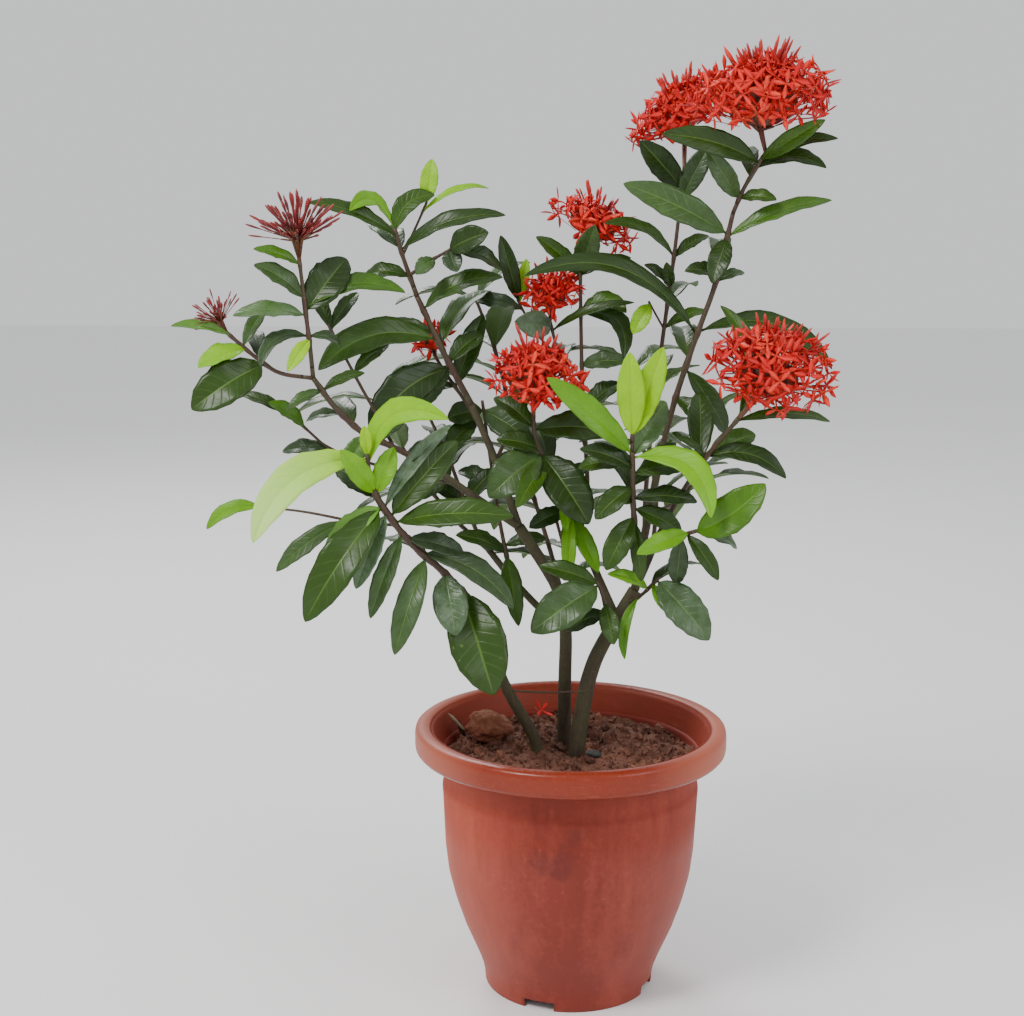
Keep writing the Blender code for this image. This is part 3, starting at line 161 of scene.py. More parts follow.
# %% Stems of the plan
# Paths: name, node, path it grows from, first and last radius, places
PATHS = (
    ("left", "trunk_left", None, 6.2, 4.4,
     ((-7, 150, 14), (-5, 205, 12), (-5, 251, 8), (-4, 294, 4), (-9, 327, 2), (-42, 378, 0))),
    ("far_left", "trunk_left", "left", 3.9, 3.1,
     ((-42, 378, 0), (-76, 401, -12), (-110, 425, -20))),
    ("rising", "trunk_left", "left", 3.8, 3.2,
     ((-42, 378, 0), (-60, 430, 14), (-79, 474, 26))),
    ("middle_left", "trunk_left", "left", 3.6, 3.0,
     ((-4, 294, 4), (-25, 311, 12), (-48, 336, 20), (-74, 370, 28))),
    ("right", "trunk_right", None, 7.6, 5.2,
     ((2, 150, -13), (6, 205, -12), (13, 251, -11), (21, 276, -10), (50, 327, -6))),
    ("fork", "trunk_right", "right", 4.2, 3.2,
     ((36, 303, -8), (21, 337, 6), (6, 372, 16))),
    ("front_right", "trunk_right", "right", 3.6, 3.0,
     ((50, 327, -6), (51, 350, -20), (50, 372, -32))),
    ("rising_right", "trunk_right", "right", 4.2, 3.4,
     ((50, 327, -6), (57, 372, 2), (64, 410, 8), (69, 438, 10))),
    ("far_right", "trunk_right", "right", 3.6, 3.0,
     ((50, 327, -6), (60, 350, -12), (68, 372, -20))),
    ("low", "trunk_low", None, 5.2, 3.6,
     ((-22, 150, -8), (-27, 203, -9), (-41, 226, -14), (-54, 250, -22), (-68, 290, -36), (-80, 318, -46))),
    ("dead_twig", "trunk_low", "low", 1.0, 0.7,
     ((-51, 244, -20), (-18, 242, -32), (16, 244, -34))),

    ("gh", "shoot_far_left", "far_left", 3.0, 2.3,
     ((-110, 425, -20), (-140, 441, -26), (-165, 452, -31), (-186, 472, -35), (-202, 495, -38))),
    ("g", "shoot_bud_tall", "gh", 2.2, 1.7,
     ((-202, 495, -38), (-204, 520, -39), (-207, 547, -40), (-211, 586, -40))),
    ("h", "shoot_bud_low", "gh", 2.0, 1.6,
     ((-202, 495, -38), (-229, 498, -42), (-249, 513, -45), (-268, 530, -46))),
    ("t1", "shoot_thin_upper", "gh", 1.7, 1.2,
     ((-140, 441, -26), (-152, 465, -12), (-165, 488, -2), (-190, 537, 6))),
    ("t2", "shoot_thin_lower", "far_left", 1.7, 1.2,
     ((-92, 412, -16), (-132, 420, 8), (-190, 438, 12), (-211, 458, 12), (-228, 470, 12))),
    ("k", "shoot_front_left", "low", 3.4, 2.5,
     ((-80, 318, -46), (-104, 344, -58), (-128, 364, -68), (-150, 394, -78), (-157, 408, -82))),
    ("k_tip", "shoot_front_left_young", "k", 2.3, 1.4,
     ((-157, 408, -82), (-160, 422, -84), (-161, 436, -86))),
    ("k_side", "shoot_front_left_side", "k", 1.5, 1.0,
     ((-139, 379, -73), (-164, 380, -62), (-212, 390, -60), (-246, 393, -60))),
    ("j", "shoot_rising", "rising", 3.1, 2.5,
     ((-79, 474, 26), (-98, 509, 30), (-107, 528, 31), (-121, 558, 32))),
    ("j_top", "shoot_rising_top", "j", 2.4, 1.6,
     ((-121, 558, 32), (-132, 589, 31), (-138, 610, 30))),
    ("j_side", "shoot_rising_top", "j_top", 1.8, 1.3,
     ((-127, 574, 31), (-112, 585, 20), (-95, 594, 12))),
    ("j_pale", "shoot_rising_top", "j_top", 1.4, 1.0,
     ((-132, 589, 31), (-121, 612, 42), (-113, 630, 46))),
    ("i", "shoot_hidden_head", "rising", 1.9, 1.5,
     ((-71, 454, 21), (-82, 474, 44), (-100, 500, 56), (-106, 510, 58))),
    ("n1", "shoot_middle_left", "middle_left", 2.2, 1.4,
     ((-74, 370, 28), (-86, 402, 34), (-98, 435, 40), (-118, 477, 42))),
    ("n2", "shoot_middle_left_inner", "middle_left", 2.2, 1.4,
     ((-48, 336, 20), (-57, 380, 36), (-62, 412, 42), (-71, 478, 48))),
    ("d", "shoot_centre_head", "fork", 2.6, 1.8,
     ((6, 372, 16), (-6, 398, 10), (-20, 425, 4), (-30, 448, -2), (-31, 466, -5))),
    ("f", "shoot_back_head", "fork", 2.5, 1.6,
     ((6, 372, 16), (12, 405, 36), (10, 440, 48), (6, 500, 58), (4, 583, 62))),
    ("e", "shoot_centre_back_head", "f", 1.8, 1.4,
     ((10, 440, 48), (-2, 480, 58), (-12, 512, 64), (-18, 537, 66))),
    ("e_side", "shoot_centre_back_head", "e", 1.4, 1.0,
     ((-12, 512, 64), (-30, 530, 72), (-44, 556, 76))),
    ("low_mid", "shoot_low_middle", "right", 2.0, 1.5,
     ((30, 292, -9), (27, 314, -24), (21, 333, -34))),
    ("low_right", "shoot_low_right", "right", 2.0, 1.4,
     ((43, 315, -7), (56, 323, -24), (69, 337, -34))),
    ("r_low", "shoot_right_low", "far_right", 1.9, 1.4,
     ((68, 372, -20), (81, 370, -40), (98, 375, -52))),
    ("y", "shoot_front_right", "front_right", 2.5, 1.9,
     ((50, 372, -32), (47, 400, -42), (47, 425, -50), (46, 438, -53))),
    ("y_tip", "shoot_front_right_young", "y", 1.8, 1.4,
     ((46, 438, -53), (46, 452, -57))),
    ("m", "shoot_right_head", "far_right", 2.6, 1.9,
     ((68, 372, -20), (85, 405, -32), (102, 432, -46), (129, 465, -62))),
    ("r", "shoot_top", "rising_right", 3.0, 2.2,
     ((69, 438, 10), (79, 481, 12), (94, 528, 12), (109, 570, 12), (120, 622, 9))),
    ("r_top", "shoot_top_head", "r", 2.1, 1.7,
     ((120, 622, 9), (127, 640, 6), (142, 665, 2))),
    ("l", "shoot_second_head", "rising_right", 2.4, 1.6,
     ((57, 372, 2), (57, 402, 24), (60, 450, 36), (68, 525, 42), (76, 590, 42), (82, 654, 37))),
    ("l_side", "shoot_second_head", "l", 1.1, 0.9,
     ((69, 534, 42), (62, 546, 36), (57, 555, 32))),

    ("back_a", "shoot_back_middle", "left", 2.6, 1.6,
     ((-9, 327, 2), (-18, 362, 42), (-34, 412, 84), (-50, 500, 120))),
    ("back_b", "shoot_back_right", "right", 2.6, 1.6,
     ((47, 321, -6), (64, 358, 44), (66, 410, 84), (46, 510, 122))),
    ("back_c", "shoot_back_left", "middle_left", 2.4, 1.5,
     ((-66, 359, 26), (-98, 388, 62), (-132, 436, 92), (-152, 482, 102))),
    ("back_d", "shoot_back_far_right", "rising_right", 2.2, 1.5,
     ((60, 388, 5), (84, 398, 44), (102, 424, 76), (104, 462, 94))),
    ("back_low", "shoot_back_low", "left", 2.2, 1.5,
     ((-5, 288, 5), (2, 318, 44), (-4, 352, 74), (-14, 388, 92))),
    ("back_e", "shoot_back_rising", "rising", 2.2, 1.5,
     ((-60, 430, 14), (-48, 460, 62), (-58, 510, 98), (-78, 562, 110))),
)

print("paths:", len(PATHS))

# %% Leaves of the plan
def lf(bu, bv, tu, tv, width, dd=0.0, arch=0.12, face=0.5, sway=0.0):
    """One leaf read off the front view: base, tip, width, how far the tip lies behind
    the base, the blade's arch, how far it faces the eye, and its sideways curve."""
    return (bu, bv, tu, tv, width, dd, arch, face, sway)


LEAVES = {
    "gh": (lf(-195, 485, -162, 499, 9, 14), lf(-195, 485, -222, 471, 9, -12),
           lf(-181, 466, -208, 461, 10, 18), lf(-162, 451, -178, 422, 15, -6, 0.12, 0.8),
           lf(-150, 446, -126, 470, 13, 22)),
    "g": (lf(-206, 527, -243, 503, 11, -18, 0.1, 0.5, 0.25), lf(-206, 527, -180, 518, 10, 18, 0.2),
          lf(-207, 543, -263, 543, 14, -14), lf(-206, 549, -130, 561, 16, 14, 0.08, 0.5, -0.15),
          lf(-207, 546, -175, 587, 26, 24, 0.08, 0.75), lf(-208, 556, -246, 582, 16, -12),
          lf(-211, 582, -246, 594, 10, -12, 0.1), lf(-205, 525, -222, 500, 10, -26, 0.1, 0.8)),
    "h": (lf(-240, 505, -297, 470, 29, -26, 0.14, 0.75), lf(-254, 517, -291, 503, 16, -22),
          lf(-265, 527, -311, 535, 9, -8), lf(-256, 519, -238, 548, 10, 24)),
    "t1": (lf(-170, 499, -143, 521, 11, 14), lf(-188, 532, -204, 566, 11, 18),
           lf(-188, 532, -166, 561, 11, 26)),
    "t2": (lf(-209, 457, -237, 476, 13, -8), lf(-224, 467, -259, 482, 10, 4),
           lf(-190, 438, -227, 437, 14, 8)),
    "k": (lf(-86, 326, -62, 240, 39, -34, 0.1, 0.9), lf(-100, 341, -92, 289, 24, -24, 0.1, 0.85),
          lf(-116, 353, -141, 273, 18, -32, 0.12, 0.7), lf(-118, 357, -46, 311, 18, -20, 0.12, 0.6, -0.08),
          lf(-135, 371, -160, 303, 14, -24, 0.12, 0.6), lf(-140, 381, -46, 386, 21, -12, 0.12, 0.65),
          lf(-154, 390, -212, 300, 28, -36, 0.16, 0.7), lf(-147, 388, -171, 327, 16, -18, 0.1, 0.6),
          lf(-150, 394, -195, 356, 17, -24, 0.12, 0.6), lf(-153, 400, -186, 425, 17, 18, 0.1, 0.6),
          lf(-142, 386, -90, 446, 23, 18, 0.1, 0.7), lf(-148, 392, -95, 459, 12, 34),
          lf(-156, 404, -182, 439, 15, -8, 0.08, 0.85), lf(-155, 403, -140, 441, 15, 6, 0.06, 0.85),
          lf(-126, 371, -85, 355, 16, 12, 0.12, 0.6)),
    "k_tip": (lf(-161, 431, -252, 364, 24, -44, 0.12, 0.7, 0.16),
              lf(-160, 424, -97, 463, 19, -14, 0.1, 0.65, -0.32), lf(-161, 435, -163, 458, 8, -4, 0.05, 0.9)),
    "k_side": (lf(-245, 393, -288, 375, 11, -6, 0.1, 0.6, 0.14), lf(-178, 383, -234, 341, 14, -10, 0.12, 0.6)),
    "j": (lf(-105, 524, -198, 501, 24, -34, 0.1, 0.65, 0.13), lf(-95, 503, -158, 450, 29, -42, 0.1, 0.8, 0.1),
          lf(-116, 548, -55, 573, 18, -8, 0.18), lf(-107, 530, -141, 540, 7, 16),
          lf(-107, 529, -187, 526, 12, 12), lf(-97, 507, -70, 530, 16, 26)),
    "j_top": (lf(-137, 603, -204, 629, 14, -20), lf(-138, 608, -172, 623, 14, -18, 0.12, 0.5, 0.4),
              lf(-138, 607, -107, 635, 15, 12, 0.1, 0.6, -0.2), lf(-133, 593, -53, 620, 15, -8, 0.16),
              lf(-125, 573, -163, 571, 14, 8, 0.22), lf(-134, 594, -158, 614, 13, 26)),
    "j_side": (lf(-96, 594, -66, 607, 19, -14, 0.1, 0.7), lf(-97, 593, -90, 577, 14, -12, 0.1, 0.85),
               lf(-97, 593, -56, 578, 14, 6, 0.2), lf(-108, 587, -122, 575, 12, -14, 0.1, 0.7)),
    "j_pale": (lf(-113, 629, -109, 662, 13, 2, 0.05, 0.9), lf(-116, 622, -66, 640, 6, 22, 0.2, 0.5)),
    "i": (lf(-92, 488, -70, 545, 17, 12, 0.1, 0.7), lf(-92, 488, -122, 484, 13, 14)),
    "n1": (lf(-116, 472, -138, 500, 15, 16, 0.1, 0.6), lf(-116, 472, -98, 505, 15, 20, 0.1, 0.6),
           lf(-99, 438, -130, 436, 15, 14), lf(-99, 438, -76, 462, 17, 12, 0.12, 0.6),
           lf(-84, 396, -60, 424, 15, 14), lf(-84, 396, -114, 412, 15, 16),
           lf(-95, 428, -128, 399, 22, -20, 0.12, 0.8), lf(-79, 384, -108, 378, 14, 8)),
    "n2": (lf(-70, 470, -35, 447, 25, -14, 0.12, 0.7), lf(-70, 470, -98, 464, 18, -12, 0.12, 0.7),
           lf(-62, 415, -38, 438, 16, 16), lf(-51, 348, -42, 297, 15, -26, 0.08, 0.85),
           lf(-53, 356, -92, 371, 15, 6), lf(-54, 362, -20, 368, 13, 6), lf(-62, 412, -90, 422, 14, 14)),
    "d": (lf(-24, 436, 13, 380, 30, -28, 0.14, 0.75), lf(-24, 436, -66, 401, 30, -26, 0.14, 0.75),
          lf(-30, 455, 35, 453, 23, -12, 0.12, 0.65), lf(-30, 456, -62, 480, 16, 14),
          lf(-7, 400, -5, 374, 8, -14, 0.1, 0.8), lf(-2, 390, -3, 334, 11, -24, 0.1, 0.8),
          lf(0, 386, 21, 341, 13, -24, 0.1, 0.75),
          lf(-22, 430, -44, 393, 16, -44, 0.08, 0.85), lf(-26, 440, -60, 447, 16, -4, 0.14, 0.6),
          lf(-3, 392, -34, 377, 14, -8, 0.12, 0.7), lf(-12, 412, 14, 426, 13, 12),
          lf(-10, 408, -42, 424, 13, 12)),
    "low_mid": (lf(22, 331, -32, 292, 29, -22, 0.12, 0.8), lf(27, 316, 34, 282, 14, -18, 0.1, 0.85),
                lf(28, 308, -3, 293, 16, -4, 0.14), lf(21, 331, -26, 346, 15, 4, 0.1, 0.6)),
    "low_right": (lf(67, 335, 110, 286, 26, -26, 0.16, 0.8), lf(64, 332, 75, 309, 8, -16, 0.1, 0.8),
                  lf(60, 328, 28, 340, 11, -18, 0.14, 0.6), lf(53, 321, 43, 270, 8, -14, 0.1, 0.6, 0.1)),
    "r_low": (lf(96, 374, 151, 413, 27, -16, 0.1, 0.75, 0.1), lf(92, 373, 51, 356, 14, -24, 0.1, 0.75),
              lf(90, 372, 116, 335, 12, -10, 0.12, 0.6), lf(96, 374, 130, 361, 16, 20),
              lf(86, 371, 83, 332, 14, 8, 0.1, 0.7)),
    "y": (lf(47, 434, 71, 478, 20, 20, 0.1, 0.8), lf(46, 436, -21, 496, 18, -14, 0.1, 0.75),
          lf(47, 433, 109, 385, 19, -28, 0.12, 0.6, -0.26), lf(47, 424, 5, 440, 15, -8, 0.14, 0.6),
          lf(47, 420, 89, 425, 15, 16, 0.12, 0.6), lf(48, 400, 98, 398, 16, 10),
          lf(48, 397, 23, 402, 13, -16), lf(48, 410, 18, 384, 17, -12, 0.12, 0.6),
          lf(49, 387, 27, 343, 18, -10, 0.12, 0.75), lf(49, 393, 86, 373, 16, 10, 0.12, 0.65),
          lf(47, 429, 4, 425, 14, 12, 0.12, 0.6), lf(49, 383, 55, 334, 11, -8, 0.1, 0.8),
          lf(47, 410, 80, 445, 13, 18, 0.1, 0.7)),
    "y_tip": (lf(46, 447, 43, 516, 19, -8, 0.05, 0.95), lf(46, 447, 69, 520, 19, 0, 0.05, 0.95)),
    "m": (lf(103, 434, 167, 417, 15, -10, 0.14, 0.6, -0.12), lf(104, 437, 142, 452, 17, 14, 0.1, 0.7),
          lf(127, 462, 200, 462, 11, 12, 0.12), lf(128, 463, 112, 552, 14, 58, 0.04, 0.7, 0.16),
          lf(103, 434, 79, 450, 7, -6)),
    "r": (lf(95, 529, -39, 574, 17, -18, 0.08, 0.55, 0.2), lf(96, 531, 200, 503, 17, -26, 0.08, 0.5, -0.2),
          lf(109, 570, 84, 578, 14, -10, 0.25), lf(109, 570, 130, 577, 9, 14),
          lf(116, 604, 195, 632, 14, -6, 0.1), lf(116, 606, 36, 644, 22, -16, 0.1, 0.75),
          lf(116, 603, 105, 569, 16, -18, 0.1, 0.85), lf(86, 503, 119, 452, 16, 10, 0.12, 0.6),
          lf(79, 481, 106, 458, 14, -14, 0.12, 0.6)),
    "r_top": (lf(121, 627, 153, 632, 12, -12), lf(122, 629, 99, 669, 15, -14, 0.08, 0.85),
              lf(136, 655, 190, 656, 14, -8, 0.1, 0.5, -0.14), lf(138, 660, 65, 681, 18, -34, 0.06, 0.85, 0.05),
              lf(140, 662, 188, 692, 13, -34, 0.08, 0.85), lf(140, 662, 198, 678, 12, -8)),
    "l": (lf(76, 588, 22, 614, 11, -14, 0.1, 0.5, 0.13), lf(76, 588, 102, 605, 10, 12, 0.14),
          lf(69, 534, 102, 548, 10, 14), lf(73, 566, 53, 583, 10, -10), lf(73, 566, 70, 585, 9, -12, 0.1, 0.8),
          lf(81, 640, 48, 676, 19, -12, 0.1, 0.8), lf(80, 632, 101, 673, 16, -8, 0.08, 0.85),
          lf(61, 460, 40, 478, 14, 16)),
    "l_side": (lf(57, 554, 45, 530, 13, -8, 0.1, 0.9),),
    "e": (lf(-18, 536, -46, 539, 20, -30, 0.06, 0.95),
          lf(-17, 532, 46, 554, 9, -16), lf(-9, 503, -50, 515, 17, -8, 0.12, 0.6)),
    "e_side": (lf(-44, 555, -57, 605, 13, -4, 0.08, 0.85), lf(-43, 553, -37, 587, 9, -10, 0.08, 0.85),
               lf(-40, 548, -78, 556, 13, 8, 0.12, 0.6)),
    "f": (lf(5, 545, 40, 546, 15, -14, 0.1, 0.5, -0.3), lf(5, 545, 38, 511, 15, -8, 0.1, 0.5, -0.35),
          lf(6, 505, 40, 508, 15, -10, 0.14, 0.6), lf(4, 576, 15, 613, 18, -16, 0.05, 0.9),
          lf(4, 574, -30, 604, 13, -2, 0.1, 0.6), lf(4, 574, 43, 588, 11, -8),
          lf(8, 470, 36, 492, 16, 12)),
}

print("leaves read off the front view:", sum(len(rows) for rows in LEAVES.values()))

# %% Leaves set by rule, and flower heads
# Leaf pairs set by rule, as (path, first share, last share, pairs, length)
PAIRS = (("back_a", 0.42, 0.97, 4, 78.0), ("back_b", 0.42, 0.97, 4, 78.0),
         ("back_c", 0.4, 0.97, 3, 74.0), ("back_d", 0.4, 0.97, 3, 68.0),
         ("back_low", 0.5, 0.97, 3, 66.0), ("back_e", 0.42, 0.97, 3, 72.0))

# Single leaves on the far side of front stems, as (path, share, length)
FAR_SIDE = (("gh", 0.55, 60.0), ("k", 0.35, 72.0), ("j", 0.5, 74.0), ("j_top", 0.6, 60.0),
            ("d", 0.5, 70.0), ("m", 0.55, 70.0), ("y", 0.4, 66.0), ("l", 0.4, 66.0), ("l", 0.62, 62.0),
            ("r", 0.35, 70.0), ("r", 0.78, 60.0), ("r_top", 0.5, 56.0), ("h", 0.5, 48.0),
            ("g", 0.6, 52.0), ("n1", 0.6, 62.0), ("low_right", 0.6, 58.0), ("e", 0.6, 58.0))


# Heads: name, path that carries it, middle, half widths, rise to the right, axis, florets, needle buds
HEADS = (
    ("head_top", "r_top", (141, 707, -12), (55, 38, 32), 0.06, (0.05, -0.3, 1.0), 132, 26),
    ("head_second", "l", (80, 697, 56), (44, 31, 24), 0.4, (-0.15, -0.3, 1.0), 96, 16),
    ("head_right", "m", (151, 501, -80), (48, 36, 33), -0.1, (0.1, -0.7, 0.75), 104, 14),
    ("head_centre", "d", (-28, 495, -14), (37, 32, 27), -0.1, (0.0, -0.6, 0.8), 72, 12),
    ("head_centre_back", "e", (-18, 560, 70), (26, 23, 17), 0.1, (0.0, -0.5, 0.9), 38, 8),
    ("head_back", "f", (14, 614, 64), (36, 31, 18), -0.36, (0.12, -0.3, 1.0), 58, 10),
    ("head_hidden", "i", (-110, 524, 60), (17, 16, 13), 0.0, (-0.2, -0.4, 0.9), 14, 3),
)
BUD_HEADS = (("buds_tall", "g", (-213, 612, -41), 34.0, 30), ("buds_low", "h", (-277, 545, -47), 22.0, 18))
DOME_REACH = math.radians(104.0)
BUD_FAN = math.radians(78.0)

print("heads:", len(HEADS), "bud heads:", len(BUD_HEADS))

# %% [markdown]
# ## Stems and blades as forms
# A stem is a bent line with a radius. A blade is a line from base to tip that arches towards the light, and
# a folded, waved surface across it.

# %% Stem paths
def stretch(points):
    """Distances along a line of points, from its start."""
    marks = [0.0]
    for a, b in zip(points, points[1:]):
        marks.append(marks[-1] + (b - a).length)
    return marks


def along(points, distance):
    """The point and the direction at a distance along a line of points."""
    marks = stretch(points)
    distance = min(max(distance, 0.0), marks[-1])
    for a, b, start, end in zip(points, points[1:], marks, marks[1:]):
        if distance <= end:
            return a.lerp(b, (distance - start) / (end - start)), (b - a).normalized()
    return points[-1], (points[-1] - points[-2]).normalized()


def piece_of(points, start, end):
    """The stretch of a line of points between two distances."""
    marks = stretch(points)
    inner = [p for p, m in zip(points, marks) if start + 1.0 < m < end - 1.0]
    return [along(points, start)[0]] + inner + [along(points, end)[0]]


class Stem:
    """One path of the plan: its points, its radii and the stretch that its own node holds."""

    def __init__(self, name, node, parent, first, last, places):
        self.name = name
        self.node = node
        self.points = [spot(*place) for place in places]
        self.length = stretch(self.points)[-1]
        self.first = first
        self.last = last
        grows_on = STEMS[parent].node if parent else node
        self.stub = 0.0 if grows_on == node else self.clear_of(STEMS[parent])
        self.own_start = self.stub + GAP if self.stub else 0.0
        self.stub_node = grows_on if self.stub else None

    def radius(self, distance):
        share = distance / self.length
        return self.first + (self.last - self.first) * share

    def clear_of(self, parent):
        """How far along this path it has left the stem that it grows from."""
        apart = parent.first + self.first + 1.5
        distance = STUB
        while distance < self.length * 0.5:
            here = along(self.points, distance)[0]
            marks = [m * 2.0 for m in range(int(parent.length / 2.0))]
            nearest = min((here - along(parent.points, m)[0]).length for m in marks)
            if nearest > apart:
                break
            distance += 1.0
        return distance

    def base_near(self, u, v, places):
        """The place on the path that is nearest to (u, v) in the front view."""
        best = None
        for (a, b), p, q in zip(zip(places, places[1:]), self.points, self.points[1:]):
            run = Vector((b[0] - a[0], b[1] - a[1]))
            share = Vector((u - a[0], v - a[1])).dot(run) / run.length_squared
            share = min(max(share, 0.0), 1.0)
            miss = (Vector((a[0], a[1])) + run * share - Vector((u, v))).length
            if best is None or miss < best[0]:
                best = (miss, self.points.index(p), share)
        marks = stretch(self.points)
        _, index, share = best
        distance = marks[index] + (marks[index + 1] - marks[index]) * share
        return min(max(distance, self.own_start + 2.5), self.length - 2.0)


STEMS = {}
for row in PATHS:
    STEMS[row[0]] = Stem(*row)
PLACES = {row[0]: row[5] for row in PATHS}

print("stems:", len(STEMS))

# %% Blade form
class Blade:
    """A leaf's form: a line from base to tip that arches, with a folded, waved blade on it."""

    def __init__(self, node, base, tip, width, arch, face, sway, phase):
        self.node = node
        self.base = base
        self.chord = tip - base
        self.length = self.chord.length
        self.width = width
        self.arch = arch
        self.sway = sway
        self.phase = phase
        hint = UP * (1.0 - face) + (EYE - base).normalized() * face
        self.side = self.chord.cross(hint).normalized()
        self.normal = self.side.cross(self.chord).normalized()

    def centre(self, t):
        bow = self.length * 4.0 * t * (1.0 - t)
        return self.base + self.chord * t + (self.normal * self.arch + self.side * self.sway) * bow

    def half_width(self, t):
        x = min(max((t - 0.05) / 0.95, 0.0), 1.0)
        lens = (4.0 * x * (1.0 - x)) ** 0.68
        return max(self.width * 0.55 * lens, PETIOLE * (1.0 - t))

    def axes(self, t):
        slope = self.length * 4.0 * (1.0 - 2.0 * t)
        run = self.chord + (self.normal * self.arch + self.side * self.sway) * slope
        side = run.cross(self.normal).normalized()
        return side, side.cross(run).normalized()

    def ruffle(self, t, s):
        wave = math.sin(2.0 * math.pi * WAVES * t + self.phase + (WAVE_LAG if s > 0 else 0.0))
        return wave * BLADE_WAVE * self.width * abs(s) * math.sin(math.pi * t)

    def place(self, t, s, wider=0.0):
        side, normal = self.axes(t)
        half = self.half_width(t) + wider
        lift = abs(s) * half * math.sin(FOLD) + self.ruffle(t, s)
        return self.centre(t) + side * (s * half * math.cos(FOLD)) + normal * lift, normal

    def stations(self):
        return next(rows for limit, rows in STATIONS if self.length < limit)

    def solid(self, thick=BLADE, wider=0.0, start=0.0):
        """Corners and triangles of the closed blade, with both faces split alike."""
        rows = [start + (1.0 - start) * t for t in self.stations()]
        spots = [self.place(t, s, wider) for t in rows for s in (-1.0, 0.0, 1.0)]
        n = len(spots)
        root = 2 * n
        tip = root + 1
        faces = [(root, 1, 0), (root, 2, 1), (n - 3, n - 2, tip), (n - 2, n - 1, tip)]
        walls = [(root, 0, n), (2, root, 2 + n), (n - 3, tip, root - 3), (tip, n - 1, root - 1)]
        for k in range(len(rows) - 1):
            a, b = 3 * k, 3 * k + 3
            for j in (0, 1):
                faces += [(a + j, a + j + 1, b + j + 1), (a + j, b + j + 1, b + j)]
            walls += [(a, b, b + n), (a, b + n, a + n)]
            walls += [(b + 2, a + 2, a + 2 + n), (b + 2, a + 2 + n, b + 2 + n)]
        under = [tuple(c if c >= root else c + n for c in (p, r, q)) for p, q, r in faces]
        upper = [p + m * (thick * 0.5) for p, m in spots]
        lower = [p - m * (thick * 0.5) for p, m in spots]
        ends = [self.centre(start), self.centre(1.0)]
        return upper + lower + ends, faces + under + walls

print("blade form ready")

# %% [markdown]
# ## Room for every leaf
# Leaves don't pass through one another. Each one is tried in small steps, first in depth, which leaves the
# front view as it is, until it is clear of everything placed before it. The solids were placed by the same
# steps in the same order, so both agree.

# %% Find room
def tube_shell(points, radii, sides=6):
    """Corners and triangles of a plain tube, to test what crosses it."""
    corners = []
    for k, p in enumerate(points):
        before = points[max(k - 1, 0)]
        after = points[min(k + 1, len(points) - 1)]
        run = (after - before).normalized()
        across = run.cross(UP if abs(run.z) < 0.9 else Vector((1.0, 0.0, 0.0))).normalized()
        over = run.cross(across)
        for i in range(sides):
            a = 2.0 * math.pi * i / sides
            corners.append(p + (across * math.cos(a) + over * math.sin(a)) * radii[k])
    faces = []
    for k in range(len(points) - 1):
        for i in range(sides):
            a, b = k * sides + i, k * sides + (i + 1) % sides
            faces += [(a, b, b + sides), (a, b + sides, a + sides)]
    return corners, faces


class Obstacle:
    """Something already in place that a new leaf must stay clear of."""

    def __init__(self, node, corners, faces, is_stem, outer=None):
        self.node = node
        self.is_stem = is_stem
        self.low = Vector([min(c[i] for c in corners) for i in range(3)])
        self.high = Vector([max(c[i] for c in corners) for i in range(3)])
        self.tree = BVHTree.FromPolygons(corners, faces)
        self.outer = outer

    def near(self, low, high):
        return all(self.low[i] <= high[i] and low[i] <= self.high[i] for i in range(3))


def clear(blade, obstacles):
    """True where the blade, grown by the clearance, crosses nothing in place."""
    corners, faces = blade.solid(CLEARANCE, WIDER)
    low = Vector([min(c[i] for c in corners) for i in range(3)])
    high = Vector([max(c[i] for c in corners) for i in range(3)])
    whole = BVHTree.FromPolygons(corners, faces)
    outer = BVHTree.FromPolygons(*blade.solid(CLEARANCE, WIDER, INNER_SHARE))
    for item in obstacles:
        if not item.near(low, high):
            continue
        if item.node != blade.node:
            if whole.overlap(item.tree):
                return False
        elif outer.overlap(item.tree if item.is_stem else item.outer):
            return False
    return True


def shifts(step, count):
    """0, then one step each way, two steps each way, and so on."""
    yield 0.0
    for k in range(1, count + 1):
        yield -k * step
        yield k * step


def settle(make, obstacles, label):
    """The first form that make() gives which is clear of everything in place."""
    for blade in make():
        if clear(blade, obstacles):
            corners, faces = blade.solid()
            outer = BVHTree.FromPolygons(*blade.solid(BLADE, 0.0, INNER_SHARE))
            obstacles.append(Obstacle(blade.node, corners, faces, False, outer))
            return blade
    print("no room for a leaf on", label)
    return None

print("room finder ready")

# %% Two kinds of leaf
def aimed(stem, row, phase):
    """Forms of a leaf read off the front view: they keep its outline there and move in depth."""
    bu, bv, tu, tv, width, dd, arch, face, sway = row
    distance = stem.base_near(bu, bv, PLACES[stem.name])
    base = along(stem.points, distance)[0]
    depth = (base.y - EYE.y) * EYE_DISTANCE / -EYE.y - EYE_DISTANCE

    def forms():
        for bend in (0.0, 0.06, -0.05):
            for shift in shifts(7.0, 8):
                tip = spot(tu, tv, depth + dd + shift)
                yield Blade(stem.node, base, tip, width, arch + bend, face, sway, phase)
        for lean in (0.35, -0.35):
            for shift in shifts(9.0, 6):
                tip = spot(tu, tv, depth + dd + shift)
                yield Blade(stem.node, base, tip, width * 0.9, arch, face + lean, sway, phase)
        for short in (0.86, 0.74):
            for shift in shifts(9.0, 6):
                tip = base.lerp(spot(tu, tv, depth + dd + shift), short)
                yield Blade(stem.node, base, tip, width * short, arch, face, sway, phase)
    return forms


